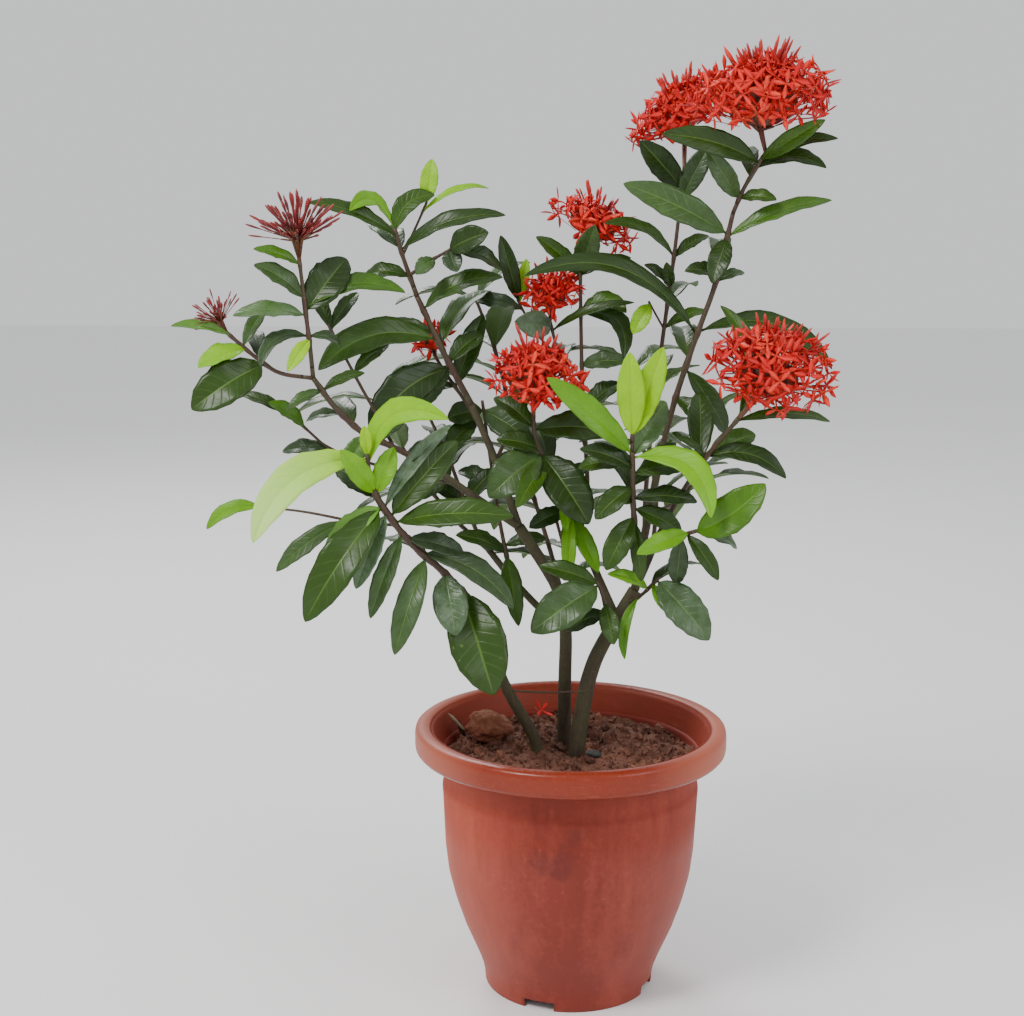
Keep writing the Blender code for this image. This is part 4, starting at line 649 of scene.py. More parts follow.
def ruled(stem, share, azimuth, length, phase):
    """Forms of a leaf set by rule round its stem, turned in small steps."""
    distance = stem.own_start + 3.0 + (stem.length - stem.own_start - 5.0) * share
    base, run = along(stem.points, distance)

    def forms():
        for size in (1.0, 0.82, 0.66):
            for turn in shifts(math.radians(11.0), 7):
                flat = Vector((math.cos(azimuth + turn), math.sin(azimuth + turn), 0.0))
                out = (flat - run * flat.dot(run)).normalized()
                reach = out * 0.86 + run * 0.42 - UP * 0.22
                tip = base + reach.normalized() * (length * size)
                yield Blade(stem.node, base, tip, length * size * 0.27, 0.13, 0.0, 0.0, phase)
    return forms


def as_obstacle(name, solid):
    """A head's solid as one thing to stay clear of, in millimetres."""
    corners = [(vert.co - AXIS) / MM for vert in solid.data.vertices]
    return Obstacle(name, corners, [tuple(face.vertices) for face in solid.data.polygons], True)


def place_leaves():
    """Every leaf of the plant, each clear of the stems, heads and leaves placed before it."""
    names = [row[0] for row in HEADS + BUD_HEADS]
    obstacles = [as_obstacle(name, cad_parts[name]) for name in names]
    for stem in STEMS.values():
        if stem.stub_node:
            points = piece_of(stem.points, 0.0, stem.stub)
            radii = [stem.first] * len(points)
            obstacles.append(Obstacle(stem.stub_node, *tube_shell(points, radii), True))
        points = piece_of(stem.points, stem.own_start, stem.length)
        marks = stretch(points)
        radii = [stem.radius(stem.own_start + m) for m in marks]
        obstacles.append(Obstacle(stem.node, *tube_shell(points, radii), True))
    draw = random.Random(SEED)
    jobs = []
    for name, rows in LEAVES.items():
        for row in rows:
            phase = draw.uniform(0.0, 6.28)
            size = Vector((row[0] - row[2], row[1] - row[3])).length
            jobs.append((-size * row[4], name, aimed(STEMS[name], row, phase), (row[2], row[3])))
    jobs.sort(key=lambda job: job[0])
    for name, share, length in FAR_SIDE:
        azimuth = math.pi / 2.0 + draw.uniform(-0.5, 0.5)
        forms = ruled(STEMS[name], share, azimuth, length * draw.uniform(0.92, 1.08), draw.uniform(0.0, 6.28))
        jobs.append((0.0, name, forms, None))
    for name, first, last, pairs, length in PAIRS:
        start = draw.uniform(0.0, math.pi)
        for k in range(pairs):
            share = first + (last - first) * k / max(pairs - 1, 1)
            for half in (0.0, math.pi):
                azimuth = start + k * math.pi / 2.0 + half
                size = length * draw.uniform(0.85, 1.1)
                forms = ruled(STEMS[name], share, azimuth, size, draw.uniform(0.0, 6.28))
                jobs.append((0.0, name, forms, None))
    leaves = []
    for _, name, forms, tip_seen in jobs:
        blade = settle(forms, obstacles, name)
        if blade:
            blade.tip_seen = tip_seen
            leaves.append(blade)
    return leaves

# %% Place every leaf
BLADES = place_leaves()
print("leaves placed:", len(BLADES))

# %% [markdown]
# ## Node maths in Python
# Geometry Nodes and shaders both do their sums in Math nodes. A small class wraps a node's output and
# gives it Python's operators, so a formula can be read as a formula. Any other node comes from one method.


# %% Sockets with operators
def sum_of(operation):
    """A method that adds one Math node, fed by the wire first."""
    return lambda wire, *others: wire.bench.add("ShaderNodeMath", wire, *others, operation=operation)


def sum_after(operation):
    """The same, where another value stands before the wire."""
    return lambda wire, first: wire.bench.add("ShaderNodeMath", first, wire, operation=operation)


class Wire:
    """A node's output that can be added, multiplied and compared like a number."""

    def __init__(self, bench, socket):
        self.bench = bench
        self.socket = socket

    __add__, __radd__ = sum_of("ADD"), sum_after("ADD")
    __sub__, __rsub__ = sum_of("SUBTRACT"), sum_after("SUBTRACT")
    __mul__, __rmul__ = sum_of("MULTIPLY"), sum_after("MULTIPLY")
    __truediv__, __pow__, __abs__ = sum_of("DIVIDE"), sum_of("POWER"), sum_of("ABSOLUTE")
    sin, over, least, most = sum_of("SINE"), sum_of("GREATER_THAN"), sum_of("MINIMUM"), sum_of("MAXIMUM")

    def held(self):
        """Held between 0 and 1."""
        return self.most(0.0).least(1.0)

    def other(self, output):
        """Another output of the same node."""
        return Wire(self.bench, self.socket.node.outputs[output])


class Bench:
    """A node tree to build on. add() makes any node: its settings first, then its values and links."""

    def __init__(self, tree):
        self.tree = tree

    def add(self, kind, *values, out=0, stops=None, sockets=None, **settings):
        node = self.tree.nodes.new(kind)
        for name, value in settings.items():
            setattr(node, name, value)
        if stops:
            ramp = node.color_ramp
            while len(ramp.elements) < len(stops):
                ramp.elements.new(0.5)
            for element, (place, colour) in zip(ramp.elements, stops):
                element.position = place
                element.color = (*colour, 1.0)
        for socket, value in zip(node.inputs, values):
            self.feed(socket, value)
        for name, value in (sockets or {}).items():
            self.feed(node.inputs[name], value)
        return Wire(self, node.outputs[out])

    def feed(self, socket, value):
        if isinstance(value, Wire):
            self.tree.links.new(value.socket, socket)
        else:
            socket.default_value = value

    def vector(self, operation, *values, scale=None):
        sockets = {"Scale": scale} if scale is not None else None
        return self.add("ShaderNodeVectorMath", *values, operation=operation, sockets=sockets)

    def blend(self, factor, first, second):
        colours = [c if isinstance(c, Wire) else (*c, 1.0) for c in (first, second)]
        sockets = {0: factor, 6: colours[0], 7: colours[1]}
        return self.add("ShaderNodeMix", data_type="RGBA", sockets=sockets, out=2)


print("node maths ready")

# %% [markdown]
# ## From nodes to plain meshes
# A modifier with a node group makes each repeated piece. Its inputs are set by the socket's identifier,
# then the result is read as a plain mesh and the modifier's object is thrown away. Each finished piece
# rides on the part's only body, and the solids that it stands for are hidden.


# %% Finished pieces
MADE = []


def bare_object(name, mesh):
    item = bpy.data.objects.new(name, mesh)
    scene.collection.objects.link(item)
    return item


def plain(item, name):
    """The evaluated shape of an object as a new plain object. The old one is removed."""
    bpy.context.view_layer.update()
    shape = item.evaluated_get(bpy.context.evaluated_depsgraph_get())
    mesh = bpy.data.meshes.new_from_object(shape)
    mesh.name = name
    bpy.data.objects.remove(item)
    return bare_object(name, mesh)


def grow(name, tree, rows, **inputs):
    """Run a node tree on loose points, one for each row of values, and keep the result as a plain mesh."""
    mesh = bpy.data.meshes.new(name + "_points")
    mesh.from_pydata([(0.0, 0.0, 0.0)] * len(rows), [], [])
    for field, value in rows[0].items():
        if isinstance(value, Vector):
            data = mesh.attributes.new(field, "FLOAT_VECTOR", "POINT").data
            data.foreach_set("vector", [v for row in rows for v in row[field]])
        else:
            data = mesh.attributes.new(field, "FLOAT", "POINT").data
            data.foreach_set("value", [row[field] for row in rows])
    points = bare_object(name + "_points", mesh)
    modifier = points.modifiers.new("Grow", "NODES")
    modifier.node_group = tree
    for socket in tree.interface.items_tree:
        if socket.in_out == "INPUT" and socket.name in inputs:
            modifier[socket.identifier] = inputs[socket.name]
    return plain(points, name)


def held_in(place, room):
    """A point of the plan, moved so that it has this much room to every side of the solids' box."""
    low, high = [(corner - AXIS) / MM for corner in CAD_BOX]
    return Vector([min(max(place[k], low[k] + room), high[k] - room) for k in range(3)])


def keep(piece, slot, *nodes):
    """Move a finished piece to the pot's axis. It rides on the body and stands for its solids."""
    piece.data.transform(Matrix.Translation(AXIS))
    low, high = CAD_BOX
    for vert in piece.data.vertices:
        vert.co = [min(max(vert.co[k], low[k]), high[k]) for k in range(3)]
    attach(piece, "root")
    if nodes:
        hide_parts(*nodes)
    MADE.append(piece)


def new_tree(name, *numbers):
    """A geometry node tree with named inputs, and its input wires by name."""
    tree = bpy.data.node_groups.new(name, "GeometryNodeTree")
    tree.interface.new_socket("Geometry", in_out="OUTPUT", socket_type="NodeSocketGeometry")
    kinds = {"Points": "Geometry", "Shape": "Object", "Finish": "Material"}
    for label, kind in {**kinds, **dict.fromkeys(numbers, "Float")}.items():
        tree.interface.new_socket(label, in_out="INPUT", socket_type="NodeSocket" + kind)
    bench = Bench(tree)
    group = tree.nodes.new("NodeGroupInput")
    return bench, {socket.name: Wire(bench, socket) for socket in group.outputs if socket.name}


def close_tree(bench, wires, geometry):
    """Put the material on the geometry and send it out. Gives the tree."""
    done = bench.add("GeometryNodeSetMaterial", geometry, sockets={"Material": wires["Finish"]})
    bench.feed(bench.tree.nodes.new("NodeGroupOutput").inputs["Geometry"], done)
    return bench.tree


def read(bench, name, kind="FLOAT"):
    return bench.add("GeometryNodeInputNamedAttribute", name, data_type=kind)


def store(bench, geometry, name, value):
    return bench.add("GeometryNodeStoreNamedAttribute", geometry, data_type="FLOAT", domain="POINT",
                     sockets={"Name": name, "Value": value})


def shapes_on(bench, wires, points, **sockets):
    """One copy of the shape on every point, made real."""
    shape = bench.add("GeometryNodeObjectInfo", wires["Shape"]).other("Geometry")
    placed = bench.add("GeometryNodeInstanceOnPoints", points, sockets={"Instance": shape, **sockets})
    return bench.add("GeometryNodeRealizeInstances", placed)


def own_places(bench, geometry, names):
    """Store each corner's place in its own shape as three values, and read them back."""
    parts = bench.add("ShaderNodeSeparateXYZ", bench.add("GeometryNodeInputPosition"))
    for k, name in enumerate(names):
        geometry = store(bench, geometry, name, parts.other(k))
    return geometry, [read(bench, name) for name in names]


def form_object(name, form):
    """An object of a bmesh, which is freed."""
    mesh = bpy.data.meshes.new(name)
    form.to_mesh(mesh)
    form.free()
    return bare_object(name, mesh)


def coat(piece, material):
    """One material on the whole piece, shaded smooth."""
    piece.data.materials.clear()
    piece.data.materials.append(material)
    piece.data.shade_smooth()


print("piece helpers ready")

# %% [markdown]
# ## Leaves
# An ixora leaf is a glossy blade folded a little along its midrib, with a faint wave along its edge. It
# could be modelled once and copied, but copies look alike. Here one flat strip, whose corners hold only
# their share along and across the leaf, is set on every point of a node tree, and the tree bends each
# strip along its own arch, sideways curve and wave.


# %% The strip that every leaf is bent from
STRIP_ROWS = (0.0, 0.05, 0.1, 0.16, 0.23, 0.31, 0.39, 0.47, 0.55, 0.63, 0.71, 0.79, 0.86, 0.92, 0.96, 0.985)
STRIP_ACROSS = (-1.0, -0.75, -0.4, -0.07, 0.0, 0.07, 0.4, 0.75, 1.0)


def leaf_strip():
    """Corners at (along, across, face): two faces of rows and a rim, closed at the tip."""
    wide = len(STRIP_ACROSS)
    corners = []
    for face in (1.0, -1.0):
        corners += [(t, s, face) for t in STRIP_ROWS for s in STRIP_ACROSS] + [(1.0, 0.0, face)]
    one = len(STRIP_ROWS) * wide + 1
    faces = []
    for layer in (0, one):
        for k in range(len(STRIP_ROWS) - 1):
            for j in range(wide - 1):
                a = layer + k * wide + j
                faces.append((a, a + 1, a + 1 + wide, a + wide))
        last = layer + (len(STRIP_ROWS) - 1) * wide
        faces += [(last + j, last + j + 1, layer + one - 1) for j in range(wide - 1)]
    faces = [f if f[0] < one else tuple(reversed(f)) for f in faces]
    left = [k * wide for k in range(len(STRIP_ROWS))] + [one - 1]
    right = [k * wide + wide - 1 for k in range(len(STRIP_ROWS))] + [one - 1]
    for a, b in zip(left, left[1:]):
        faces.append((a, b, b + one, a + one))
    for a, b in zip(right, right[1:]):
        faces.append((b, a, a + one, b + one))
    faces += [(j + 1, j, j + one, j + 1 + one) for j in range(wide - 1)]
    mesh = bpy.data.meshes.new("leaf_strip")
    mesh.from_pydata(corners, [], faces)
    return bare_object("leaf_strip", mesh)


STRIP = leaf_strip()
print("leaf strip:", len(STRIP.data.vertices), "corners")


# %% The tree that bends the strips
EDGE_BUMP = 0.035  # how uneven the edge is, as a share of half the width
GROOVE = 0.5  # depth of the groove over the midrib, in millimetres


def leaf_tree():
    bench, wires = new_tree("Bend leaves", "Fold", "Thickness", "Wave")
    loose = shapes_on(bench, wires, wires["Points"])
    loose, (t, s, face) = own_places(bench, loose, ("along", "across", "face"))
    base, chord, side, normal = [read(bench, n, "FLOAT_VECTOR") for n in ("base", "chord", "side", "normal")]
    length, width, arch, sway, phase = [read(bench, n) for n in ("length", "width", "arch", "sway", "phase")]

    bow = t * (1.0 - t) * 4.0 * length
    bend = bench.vector("ADD", bench.vector("SCALE", normal, scale=arch), bench.vector("SCALE", side, scale=sway))
    middle = bench.vector("ADD", base, bench.vector("SCALE", chord, scale=t))
    middle = bench.vector("ADD", middle, bench.vector("SCALE", bend, scale=bow))
    slope = (1.0 - 2.0 * t) * 4.0 * length
    run = bench.vector("ADD", chord, bench.vector("SCALE", bend, scale=slope))
    out = bench.vector("NORMALIZE", bench.vector("CROSS_PRODUCT", run, normal))
    rise = bench.vector("NORMALIZE", bench.vector("CROSS_PRODUCT", out, run))

    x = ((t - 0.05) / 0.95).held()
    lens = (4.0 * x * (1.0 - x)) ** (0.66 + 0.1 * x)
    edge = 1.0 + EDGE_BUMP * (t * 41.0 + phase * 3.0 + s * 2.0).sin() * abs(s)
    half = (width * 0.57 * lens * edge).most(PETIOLE * (1.0 - t))
    turn = wires["Wave"] * width * abs(s) * (t * math.pi).sin()
    ruffle = (t * (2.0 * math.pi * WAVES) + phase + WAVE_LAG * s.over(0.0)).sin() * turn
    fine = (t * 38.0 + phase * 2.0 + s * 1.5).sin() * turn * abs(s) * 0.3
    groove = (1.0 - abs(s) * 12.0).most(0.0) * GROOVE * (1.0 - t * 0.7)
    lift = abs(s) * half * wires["Fold"].sin() + ruffle + fine - groove * (face * 0.5 + 0.5)
    lift = lift - groove * (0.5 - face * 0.5) * 1.2
    depth = lift + face * wires["Thickness"] * 0.5
    place = bench.vector("ADD", middle, bench.vector("SCALE", out, scale=s * half * math.cos(FOLD)))
    place = bench.vector("ADD", place, bench.vector("SCALE", rise, scale=depth))
    place = bench.vector("SCALE", place, scale=MM)
    bent = bench.add("GeometryNodeSetPosition", loose, sockets={"Position": place})
    return close_tree(bench, wires, bench.add("GeometryNodeSetShadeSmooth", bent))


LEAF_TREE = leaf_tree()
print("leaf tree:", len(LEAF_TREE.nodes), "nodes")

# %% [markdown]
# ## The leaf's finish
# Old leaves are deep green and glossy, with paler side veins and a light midrib. New growth is yellow-green
# and softer. A few leaves carry a painted grey-green sheen: a painted reflection of the sky on wet leaves.
# One material reads each leaf's own tone, so a whole shoot is one piece.


# %% Leaf material
def new_material(name):
    material = bpy.data.materials.new(name)
    material.use_nodes = True
    bench = Bench(material.node_tree)
    return material, bench, material.node_tree.nodes["Principled BSDF"]


def field(bench, name):
    return bench.add("ShaderNodeAttribute", attribute_name=name, out=2)


def object_place(bench):
    return bench.add("ShaderNodeTexCoord", out=3)


def speckle(bench, place, scale, detail=3.0, rough=0.55):
    return bench.add("ShaderNodeTexNoise", sockets={"Vector": place, "Scale": scale, "Detail": detail,
                                                    "Roughness": rough})


def feed_shader(bench, shader, colour, rough, height, strength, distance):
    """Give a shader its colour, its roughness and a relief of this strength and distance."""
    relief = bench.add("ShaderNodeBump", sockets={"Height": height, "Strength": strength, "Distance": distance})
    for name, value in (("Base Color", colour), ("Roughness", rough.held()), ("Normal", relief)):
        bench.feed(shader.inputs[name], value)


LEAF_TONES = [(0.0, (0.010, 0.027, 0.002)), (0.25, (0.027, 0.068, 0.003)), (0.5, (0.080, 0.22, 0.003)),
              (0.72, (0.18, 0.44, 0.002)), (0.87, (0.31, 0.58, 0.001)), (1.0, (0.30, 0.62, 0.012))]
# The second colour is a painted sheen: the grey-green that a wet, glossy leaf reflects from the sky.
VEIN, PAINTED_SHEEN = (0.20, 0.35, 0.055), (0.16, 0.23, 0.15)
PALE_TIP, UNDERSIDE = (0.50, 0.76, 0.20), (0.10, 0.19, 0.035)
SIDE_VEINS = 10.0  # on each half of a leaf
PALEST = 0.95  # the tone above which a leaf pales towards its tip


def leaf_material(name, shine, specular):
    material, bench, shader = new_material(name)
    t, s, face = [field(bench, n) for n in ("along", "across", "face")]
    tone, grey = field(bench, "tone"), field(bench, "grey")
    place = object_place(bench)
    blotch = speckle(bench, place, 55.0)
    mottle = speckle(bench, place, 260.0, 4.0)
    side_veins = (1.0 - abs(((t * SIDE_VEINS - abs(s) * 1.5) * math.pi).sin())) ** 5.0
    side_veins = side_veins * (1.0 - abs(s) * 0.5) * (abs(s) * 10.0).held()
    midrib = (1.0 - abs(s) * 16.0).most(0.0)
    shade = tone + 0.16 * (blotch - 0.5) + 0.06 * (mottle - 0.5) - 0.05 * abs(s)
    body = bench.add("ShaderNodeValToRGB", shade, stops=LEAF_TONES)
    body = bench.blend((side_veins * 0.085 + midrib * 0.36).held(), body, VEIN)
    # Painted sheen: grey-green patches that stand in for the sky's reflection, on leaves whose grey share is above
    # 0.
    patch = (speckle(bench, place, 120.0, 5.0, 0.7) * 1.8 - 0.35).held() * grey
    body = bench.blend(patch, body, PAINTED_SHEEN)
    body = bench.blend((tone - PALEST).over(0.0) * (t * 1.3 - 0.1).held(), body, PALE_TIP)
    under = 0.5 - 0.5 * face
    body = bench.blend(under * 0.6, body, UNDERSIDE)
    rough = shine + 0.14 * blotch + 0.22 * under - 0.12 * grey + 0.2 * (tone - 0.6).most(0.0)
    height = side_veins * -0.6 - midrib * 0.5 + mottle * 0.35
    feed_shader(bench, shader, body, rough, height, 0.55, 0.0006)
    shader.inputs["Specular IOR Level"].default_value = specular
    return material


LEAF = leaf_material("leaf_green", 0.27, 0.34)
YOUNG_LEAF = leaf_material("leaf_young", 0.42, 0.2)
print("leaf finishes:", LEAF.name, YOUNG_LEAF.name)

# %% [markdown]
# ## Tones of single leaves
# These leaves stand out in the photograph. Each is named by its tip in the plan, with its tone from deep
# green at 0 to pale yellow-green at 1, and how much painted grey-green sheen it carries, a painted reflection.

# %% Tones
TONES = {
    (-252, 364): (0.99, 0.0), (-97, 463): (0.80, 0.0), (-163, 458): (0.94, 0.0), (-182, 439): (0.70, 0.0),
    (-140, 441): (0.68, 0.0), (43, 516): (0.86, 0.0), (69, 520): (0.85, 0.0), (-21, 496): (0.58, 0.0),
    (109, 385): (0.72, 0.0), (151, 413): (0.42, 0.0), (51, 356): (0.62, 0.0), (-288, 375): (0.62, 0.0),
    (-195, 356): (0.66, 0.5), (-291, 503): (0.76, 0.0), (-311, 535): (0.5, 0.3), (-222, 500): (0.88, 0.0),
    (-263, 543): (0.34, 0.6), (-246, 594): (0.42, 0.1), (-172, 623): (0.62, 0.0), (-109, 662): (0.82, 0.0),
    (-66, 640): (0.78, 0.0), (45, 530): (0.8, 0.0), (-5, 374): (0.66, 0.0), (-3, 334): (0.7, 0.0),
    (21, 341): (0.58, 0.0), (75, 309): (0.6, 0.0), (28, 340): (0.62, 0.0), (43, 270): (0.52, 0.0),
    (188, 692): (0.34, 0.0), (-237, 476): (0.45, 0.0), (-46, 539): (0.22, 0.9), (-171, 327): (0.3, 0.9),
    (-92, 289): (0.2, 0.7), (-95, 459): (0.2, 0.95), (110, 286): (0.2, 0.5), (-158, 614): (0.26, 0.7),
    (71, 478): (0.34, 0.5), (-44, 393): (0.32, 0.0), (-37, 587): (0.8, 0.0), (195, 632): (0.36, 0.1),
    (-178, 422): (0.4, 0.2), (-130, 561): (0.34, 0.0), (40, 546): (0.36, 0.0), (102, 548): (0.3, 0.0),
}
print("leaves with a tone of their own:", len(TONES))


# %% Grow the leaves of every shoot
def leaf_row(blade, draw):
    # A leaf's grey value is its share of painted sheen, a painted reflection on wet leaves.
    tone, grey = TONES.get(blade.tip_seen, (draw.uniform(0.06, 0.3), draw.choice((0.0, 0.0, 0.0, 0.25))))
    return {"base": blade.base, "chord": blade.chord, "side": blade.side, "normal": blade.normal,
            "length": blade.length, "width": blade.width, "arch": blade.arch, "sway": blade.sway,
            "phase": blade.phase, "tone": tone, "grey": grey}


YOUNG = ("shoot_front_left_young", "shoot_front_right_young")
draw = random.Random(5)
for node in dict.fromkeys(blade.node for blade in BLADES):
    rows = [leaf_row(blade, draw) for blade in BLADES if blade.node == node]
    young = node in YOUNG
    leaves = grow(node + "_leaves", LEAF_TREE, rows, Shape=STRIP, Finish=YOUNG_LEAF if young else LEAF,
                  Fold=FOLD, Thickness=LEAF_THICK, Wave=LEAF_WAVE)
    keep(leaves, "young_leaf" if young else "leaf", node)
print("leaf pieces:", len(MADE))

# %% [markdown]
# ## Stems
# Old stems are brown and rough, and young ones red-brown to green. Each is a curve with a round section: the
# plan's points with their corners cut, so it bends where the real stem bends. It swells a little where leaves
# stand, which are the stem's joints.


# %% Stem curves
def rounded(points):
    """Cut the corners of a line of points, twice."""
    for _ in range(2):
        cut = [points[0]]
        for a, b in zip(points, points[1:]):
            cut += [a.lerp(b, share) for share in (0.2, 0.8) if len(points) > 2]
        points = cut + [points[-1]]
    return points


def curve_piece(name, lines, material, corners=3):
    """One mesh of round stems. Each line is its points and its radii, in millimetres."""
    curve = bpy.data.curves.new(name, "CURVE")
    curve.dimensions = "3D"
    curve.bevel_depth = MM
    curve.bevel_resolution = corners
    curve.use_fill_caps = True
    for points, radii in lines:
        line = curve.splines.new("POLY")
        line.points.add(len(points) - 1)
        line.use_smooth = True
        for control, p, radius in zip(line.points, points, radii):
            control.co = (*(p * MM), 1.0)
            control.radius = radius
    guide = bare_object(name + "_curve", curve)
    piece = plain(guide, name)
    bpy.data.curves.remove(curve)
    form = bmesh.new()
    form.from_mesh(piece.data)
    bmesh.ops.remove_doubles(form, verts=form.verts, dist=1e-6)
    bmesh.ops.recalc_face_normals(form, faces=form.faces)
    form.to_mesh(piece.data)
    form.free()
    coat(piece, material)
    return piece


def stem_line(stem, start, end):
    """A stem between two distances, with joints where its leaves stand."""
    count = max(2, int((end - start) / STEM_STEP))
    marks = [start + (end - start) * k / count for k in range(count + 1)]
    joints = [joint for joint in stem.joints if start < joint < end]
    points = rounded(stem.points)
    reach = stretch(points)[-1]
    slim = 1.0 if stem.first > TRUNK_FROM else 0.86
    sizes = []
    for mark in marks:
        swell = sum(math.exp(-((mark - joint) / 3.0) ** 2) for joint in joints)
        sizes.append(stem.radius(mark) * slim * (1.0 + 0.3 * min(swell, 1.0)))
    return [along(points, mark * reach / stem.length)[0] for mark in marks], sizes


print("stem helpers ready")


# %% Stem finishes
def stem_material(name, dark, light, tip, rough, grain):
    """Rough bark: streaks along the stem, lichen-pale flecks and cracks."""
    material, bench, shader = new_material(name)
    place = object_place(bench)
    long_grain = bench.vector("MULTIPLY", place, (1.0, 1.0, 0.22))
    streak = speckle(bench, long_grain, 420.0, 5.0, 0.65)
    broad = speckle(bench, place, 38.0)
    fleck = (speckle(bench, place, 700.0, 3.0) * 4.0 - 2.35).held()
    body = bench.blend((streak * 1.5 - 0.25).held(), dark, light)
    body = bench.blend((broad * 2.6 - 0.85).held() * 0.75, body, tip)
    moss = (speckle(bench, place, 150.0, 4.0, 0.6) * 4.0 - 2.1).held()
    body = bench.blend(moss * 0.5, body, tip)
    body = bench.blend(fleck * 0.5, body, (0.22, 0.17, 0.11))
    feed_shader(bench, shader, body, rough + 0.2 * (streak - 0.5), streak + fleck * 0.4, 0.7, grain)
    return material


BARK = stem_material("bark", (0.018, 0.010, 0.006), (0.080, 0.050, 0.028), (0.060, 0.066, 0.020), 0.74, 0.0013)
SHOOT = stem_material("young_bark", (0.024, 0.009, 0.006), (0.095, 0.032, 0.020), (0.050, 0.046, 0.012), 0.5, 0.0005)
print("stem finishes:", BARK.name, SHOOT.name)


# %% Stems of every node
def node_lines(node):
    """The lines a node shows: its own stretch of each path, and the stubs that grow from it."""
    lines = []
    for stem in STEMS.values():
        if stem.node == node:
            start = max(stem.own_start - 1.6, 0.0)
            lines.append(stem_line(stem, start, stem.length))
        if stem.stub_node == node:
            lines.append(stem_line(stem, 0.0, stem.stub))
    return lines


for stem in STEMS.values():
    stem.joints = []
for blade in BLADES:
    rows = [stem for stem in STEMS.values() if stem.node == blade.node]
    near = min(((along(stem.points, m)[0] - blade.base).length, m, stem.name) for stem in rows
               for m in range(0, int(stem.length) + 1, 2))
    STEMS[near[2]].joints.append(float(near[1]))
for node in dict.fromkeys(stem.node for stem in STEMS.values()):
    trunk = node.startswith("trunk")
    piece = curve_piece(node + "_wood", node_lines(node), BARK if trunk else SHOOT, 4 if trunk else 2)
    keep(piece, "bark", node)
print("pieces so far:", len(MADE))

# %% [markdown]
# ## Flower heads
# An ixora head is a dome of small florets. Each floret has four pointed petals that lie almost flat at the
# end of a tube as thin as a straw, and the tubes meet deep in the dome. Some florets are still closed: red
# needles that stand up between the open ones. One small floret and one needle are modelled, and a node tree
# sets them round the dome, bends every tube back to the middle and varies the cup of the petals.


# %% A floret and a needle bud
def add_tube(corners, faces, rings):
    """Add a closed tube round Z, from its rings of (height, radius)."""
    start = len(corners)
    for height, radius in rings:
        for i in range(TUBE_SIDES):
            a = 2.0 * math.pi * i / TUBE_SIDES
            corners.append(Vector((radius * math.cos(a), radius * math.sin(a), height)))
    for low in range(start, len(corners) - TUBE_SIDES, TUBE_SIDES):
        for i in range(TUBE_SIDES):
            a, b = low + i, low + (i + 1) % TUBE_SIDES
            faces.append((a, a + TUBE_SIDES, b + TUBE_SIDES, b))
    faces.append(tuple(start + i for i in range(TUBE_SIDES)))
    faces.append(tuple(len(corners) - TUBE_SIDES + i for i in reversed(range(TUBE_SIDES))))


def floret_shape():
    """Petals of length 1 in the plane, height 1 and up. The tube's corners hold minus their share of its way."""
    corners, faces = [], []
    for k in range(4):
        turn = Matrix.Rotation(math.pi * 0.5 * k, 3, "Z")
        rows = [(0.05, 0.045), (0.3, 0.12), (0.6, 0.175), (0.83, 0.105)]
        first = len(corners)
        for r, w in rows:
            for side in (-1.0, 1.0):
                corners.append(turn @ Vector((r, side * w, 0.0)) + Vector((0.0, 0.0, 1.0)))
        corners.append(turn @ Vector((1.0, 0.0, 0.0)) + Vector((0.0, 0.0, 1.0)))
        tip = first + 8
        middles = []
        for face in (1.0, -1.0):
            middles.append(len(corners))
            for r, w in rows:
                corners.append(turn @ Vector((r, 0.0, face * 0.018)) + Vector((0.0, 0.0, 1.0 - 0.05 * (w > 0.1))))
        for face, low in zip((1, -1), middles):
            patch = []
            for j in range(3):
                a, b = first + 2 * j, first + 2 * j + 2
                m, n = low + j, low + j + 1
                patch += [(a, b, n, m), (m, n, b + 1, a + 1)]
            patch += [(first + 6, tip, low + 3), (low + 3, tip, first + 7), (low, first + 1, first)]
            faces += [f if face < 0 else tuple(reversed(f)) for f in patch]
    tube = ((0.98, 0.085), (-0.12, 0.055), (-0.5, 0.045), (-1.0, 0.05))
    add_tube(corners, faces, tube)
    return shape_object("floret", corners, faces)


def needle_shape():
    """A closed bud: a thin stalk that swells to a pointed tip. Heights are minus the share of its way."""
    corners, faces = [], []
    rings = ((0.0, 0.3), (-0.05, 0.75), (-0.14, 1.0), (-0.26, 0.8), (-0.38, 0.42), (-1.0, 0.4))
    add_tube(corners, faces, rings)
    return shape_object("needle_bud", corners, faces)


def shape_object(name, corners, faces):
    mesh = bpy.data.meshes.new(name)
    mesh.from_pydata([tuple(c) for c in corners], [], faces)
    form = bmesh.new()
    form.from_mesh(mesh)
    bmesh.ops.recalc_face_normals(form, faces=form.faces)
    form.to_mesh(mesh)
    form.free()
    return bare_object(name, mesh)


FLORET, NEEDLE = floret_shape(), needle_shape()
print("floret:", len(FLORET.data.polygons), "faces, needle:", len(NEEDLE.data.polygons), "faces")


